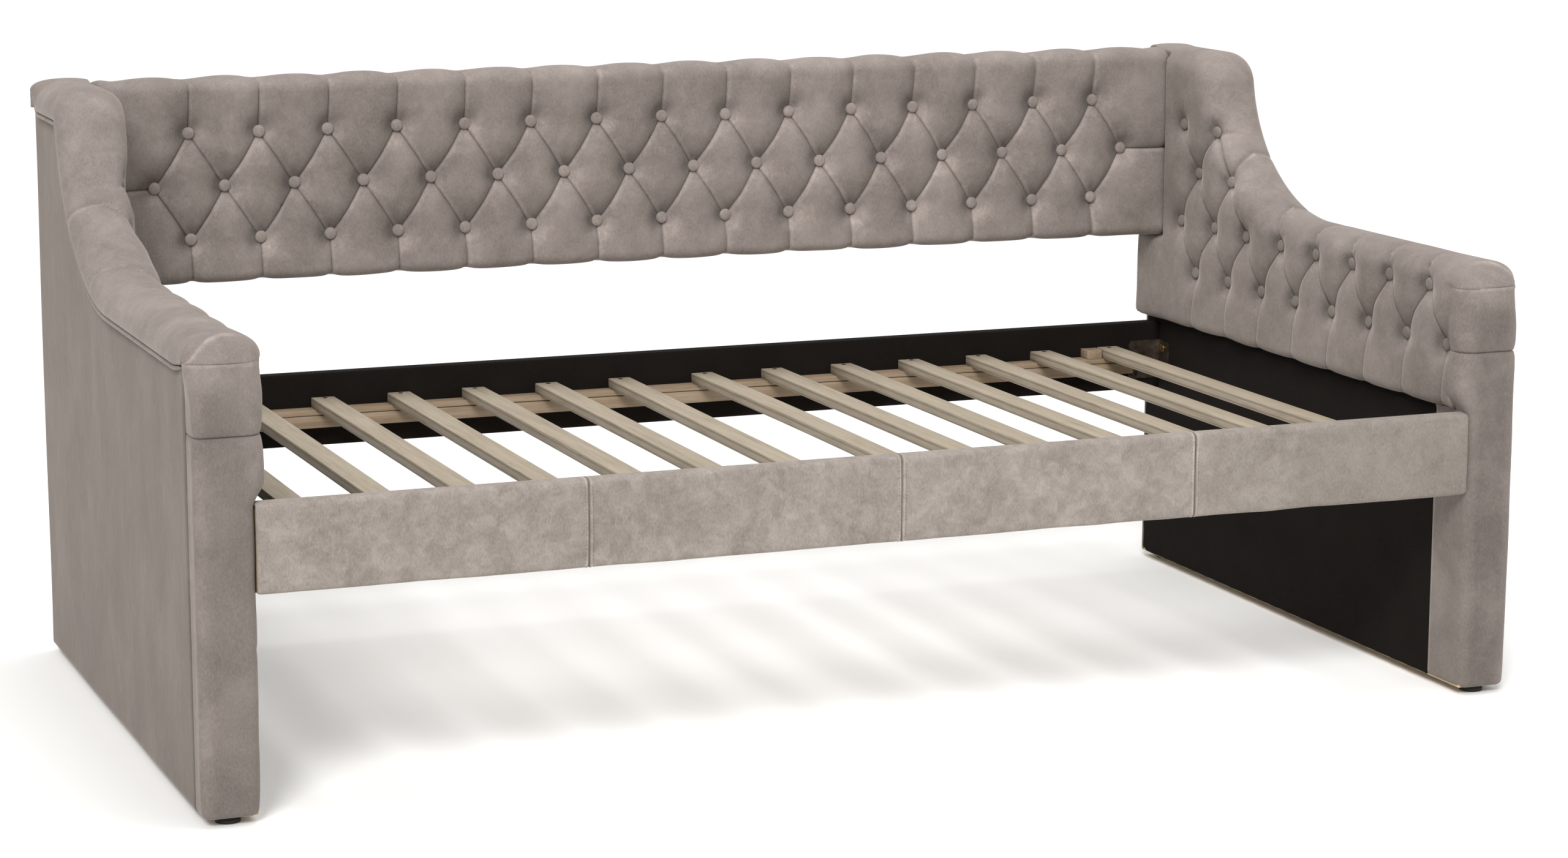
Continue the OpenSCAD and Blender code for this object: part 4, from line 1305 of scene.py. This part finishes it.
# A sawn bar: a box at its size, cut across into short lengths so that it can bow, with eased edges.
def makeBar(name, low, high, values, seed, material):
    low, high = np.array(low, float), np.array(high, float)
    size, centre = high - low, (low + high) / 2
    axis = int(np.argmax(size))
    bpy.ops.object.select_all(action="DESELECT")
    bpy.ops.mesh.primitive_cube_add(size=1, location=centre, scale=size)
    bar = bpy.context.object
    bar.name = bar.data.name = name
    bpy.ops.object.transform_apply(location=True, rotation=False, scale=True)
    normal = [0, 0, 0]
    normal[axis] = 1
    bpy.ops.object.mode_set(mode="EDIT")
    for share in np.linspace(0, 1, values["cuts"] + 2)[1:-1]:
        bpy.ops.mesh.select_all(action="SELECT")
        cut = centre.copy()
        cut[axis] = low[axis] + size[axis] * share
        bpy.ops.mesh.bisect(plane_co=tuple(cut), plane_no=normal)
    bpy.ops.object.mode_set(mode="OBJECT")
    rng = np.random.default_rng(seed)
    bow, twist = rng.normal(size=3) * values["bow"], rng.normal() * values["yaw"]
    bow[axis] = 0
    for vertex in bar.data.vertices:
        t = (vertex.co[axis] - centre[axis]) / size[axis] * 2
        vertex.co += Vector(bow * (1 - t * t))
        if axis == 1:
            vertex.co.x += twist * t * size[axis] / 2
        if abs(t) > 0.999:
            vertex.co[axis] += rng.normal() * values["roughEnd"]
    easeEdges(bar, values["ease"], smoothed=35, sharp=50)
    bar.data.materials.append(material)
    return bar


pineBar = {"cuts": 9, "bow": 0.0003, "yaw": 0.0, "roughEnd": 0.0005, "ease": 0.0011}
for node, name in (("front_ledger", "frontLedger"), ("back_ledger", "backLedger")):
    low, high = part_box(node)
    place(makeBar(name, low, high, pineBar, len(name), pineX), "pine", node)
stripLow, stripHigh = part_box("ledger_strips")
strips = []
for k, node in enumerate(("front_ledger", "back_ledger")):
    low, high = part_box(node)
    # the strip is set back a millimetre, so the joint with its ledger reads as a line
    inset = 0.0012
    low = (low.x + 0.0015, low.y + (inset if k else 0), stripLow.z + 0.0009)
    high = (high.x - 0.0015, high.y - (0 if k else inset), stripHigh.z)
    strips.append(makeBar("strip" + str(k), low, high, pineBar, 40 + k, pineX))
place(joined("ledgerStrips", strips, pineX), "pine", "ledger_strips")

slatShape = {"cuts": 11, "bow": 0.0008, "yaw": 0.0022, "roughEnd": 0.0007, "ease": 0.0014}
for k in range(1, 15):
    low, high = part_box("slat_" + str(k))
    slat = makeBar("slat" + str(k), low, high, slatShape, 100 + k, slatWood)
    place(slat, "slat_wood", "slat_" + str(k))
low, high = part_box("slat_block")
blockShape = {"cuts": 1, "bow": 0.0, "yaw": 0.0, "roughEnd": 0.0008, "ease": 0.0012}
place(makeBar("slatBlock", low, high, blockShape, 9, pineY), "slat_wood", "slat_block")
print("slats laid")


bracket = {"railLeaf": 0.064, "armLeaf": 0.037, "height": 0.070, "thick": 0.0028, "round": 0.007,
           "low": 0.344}


def makeBracket(values):
    # cut flat with round corners, folded square at its bend and then given its thickness
    bpy.ops.object.select_all(action="DESELECT")
    bpy.ops.mesh.primitive_plane_add(size=1)
    plate = bpy.context.object
    long = values["railLeaf"] + values["armLeaf"]
    plate.data.transform(Matrix.Translation(((values["armLeaf"] - values["railLeaf"]) / 2, 0,
                                             values["height"] / 2))
                         @ Matrix.Rotation(math.radians(90), 4, "X")
                         @ Matrix.Diagonal((long, values["height"], 1, 1)))
    bpy.ops.object.mode_set(mode="EDIT")
    bpy.ops.mesh.select_all(action="SELECT")
    bpy.ops.mesh.bevel(offset=values["round"], segments=6, affect="VERTICES")
    bpy.ops.mesh.select_all(action="SELECT")
    bpy.ops.mesh.bisect(plane_co=(0, 0, 0), plane_no=(1, 0, 0))
    bpy.ops.object.mode_set(mode="OBJECT")
    # the arm leaf turns to lie along -Y: its x becomes distance from the fold
    for vertex in plate.data.vertices:
        if vertex.co.x > 0.0001:
            vertex.co.y, vertex.co.x = -vertex.co.x, 0.0
    wall = plate.modifiers.new("gauge", "SOLIDIFY")
    wall.thickness, wall.offset = values["thick"], 1
    easeEdges(plate, 0.0005)
    return plate


def standing(count, radius, height):
    # a cylinder that stands on the XY plane
    bpy.ops.object.select_all(action="DESELECT")
    bpy.ops.mesh.primitive_cylinder_add(vertices=count, radius=radius, depth=height,
                                        location=(0, 0, height / 2))
    bpy.ops.object.transform_apply(location=True, rotation=True, scale=True)
    return bpy.context.object


def makeHead(radius, depth):
    # a plain round head, with a narrower neck under it that goes into the hole
    head = standing(24, radius, depth)
    bpy.ops.object.mode_set(mode="EDIT")
    bpy.ops.mesh.select_all(action="SELECT")
    bpy.ops.transform.translate(value=(0, 0, depth * 0.22))
    bpy.ops.mesh.extrude_region_move(TRANSFORM_OT_translate={"value": (0, 0, -depth * 0.6)})
    bpy.ops.transform.resize(value=(0.75, 0.75, 1))
    bpy.ops.object.mode_set(mode="OBJECT")
    easeEdges(head, min(radius, depth) * 0.14, smoothed=40)
    outward(head)                                           # the extrusion turns the first shell inside out
    return head


plate = makeBracket(bracket)
rearFaceY, frontFaceY, rearX, frontX = 0.492, -0.530, 0.9646, 0.9626
brackets = []
for side in (-1, 1):
    turned = Matrix.Diagonal((side, 1, 1, 1))
    brackets.append(turned @ Matrix.Translation((rearX, rearFaceY - 0.0003, bracket["low"])))
    brackets.append(turned @ Matrix.Translation((frontX, frontFaceY + 0.0003, bracket["low"]))
                    @ Matrix.Diagonal((1, -1, 1, 1)))
corner = joined("cornerBrackets", copied(plate, brackets), bronze)
outward(corner)
select(corner)
bpy.ops.object.shade_smooth_by_angle(angle=math.radians(40))
place(corner, "bracket_metal", "corner_brackets")

boltHead = makeHead(0.0075, 0.0032)
boltPlaces = []
for side in (-1, 1):
    facing = Matrix.Rotation(math.radians(-90 * side), 4, "Y")
    for z in (0.358, 0.400):
        boltPlaces.append(Matrix.Translation((side * (rearX - bracket["thick"]), 0.473, z)) @ facing)
        boltPlaces.append(Matrix.Translation((side * (frontX - bracket["thick"]), -0.511, z)) @ facing)
place(joined("railBolts", copied(boltHead, boltPlaces), boltMetal), "bolt_metal", "rail_bolts")

screwHead = makeHead(0.0038, 0.0016)
screwPlaces = []
towardFront = Matrix.Rotation(math.radians(90), 4, "X")
towardRear = Matrix.Rotation(math.radians(-90), 4, "X")
for k in range(-3, 4):
    screwPlaces.append(Matrix.Translation((0.27 * k, 0.4614, 0.370)) @ towardFront)
    screwPlaces.append(Matrix.Translation((0.27 * k, -0.4994, 0.370)) @ towardRear)
for side in (-1, 1):
    for away, up in ((0.052, 0.010), (0.052, 0.060), (0.030, 0.035)):
        screwPlaces.append(Matrix.Translation((side * (0.965 - away), 0.4891, bracket["low"] + up))
                           @ towardFront)
        screwPlaces.append(Matrix.Translation((side * (0.965 - away), -0.5271, bracket["low"] + up))
                           @ towardRear)
for k in range(1, 15):
    low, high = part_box("slat_" + str(k))
    for y in (-0.513, 0.476):
        screwPlaces.append(Matrix.Translation(((low.x + high.x) / 2, y, high.z - 0.0012)))
place(joined("woodScrews", copied(screwHead, screwPlaces), screwSteel), "screw_metal", "wood_screws")
print("metalwork fitted")


glide = {"radius": 0.018, "height": 0.0120, "plug": 0.004, "x": 1.004, "ys": (-0.519, 0.524)}


def makeGlide(values):
    # a round foot, and a plug on it that goes up into the post
    foot = standing(36, values["radius"], values["height"])
    bpy.ops.object.mode_set(mode="EDIT")
    bpy.ops.mesh.select_all(action="SELECT")
    bpy.ops.mesh.extrude_region_move(TRANSFORM_OT_translate={"value": (0, 0, values["plug"])})
    bpy.ops.object.mode_set(mode="OBJECT")
    easeEdges(foot, 0.0009, 3, smoothed=40)
    outward(foot)
    return foot


for word, side in sides:
    spots = [Matrix.Translation((side * glide["x"], y, 0)) for y in glide["ys"]]
    feet = joined(word + "ArmGlides", copied(makeGlide(glide), spots), glidePlastic)
    place(feet, "glide_plastic", word + "_arm_glides")
print("glides fitted")


# The timber and boards inside stay as the frame has them and only need their finish.
innerTimber = {"back_board": plywood, "back_battens": pineX, "back_bolts": boltMetal,
               "front_rail_board": plywood, "back_rail_board": plywood}
for word, _ in sides:
    for name, wood in (("inner_panel", plywood), ("outer_panel", plywood), ("front_post", pineZ),
                       ("rear_post", pineZ),
                       ("bottom_rail", pineY), ("middle_rail", pineY), ("top_rail", pineY)):
        innerTimber[word + "_arm_" + name] = wood
for name, wood in innerTimber.items():
    timber = bpy.data.objects[name]
    timber.data.materials.clear()
    timber.data.materials.append(wood)
print("inner timber finished")

bpy.context.view_layer.update()
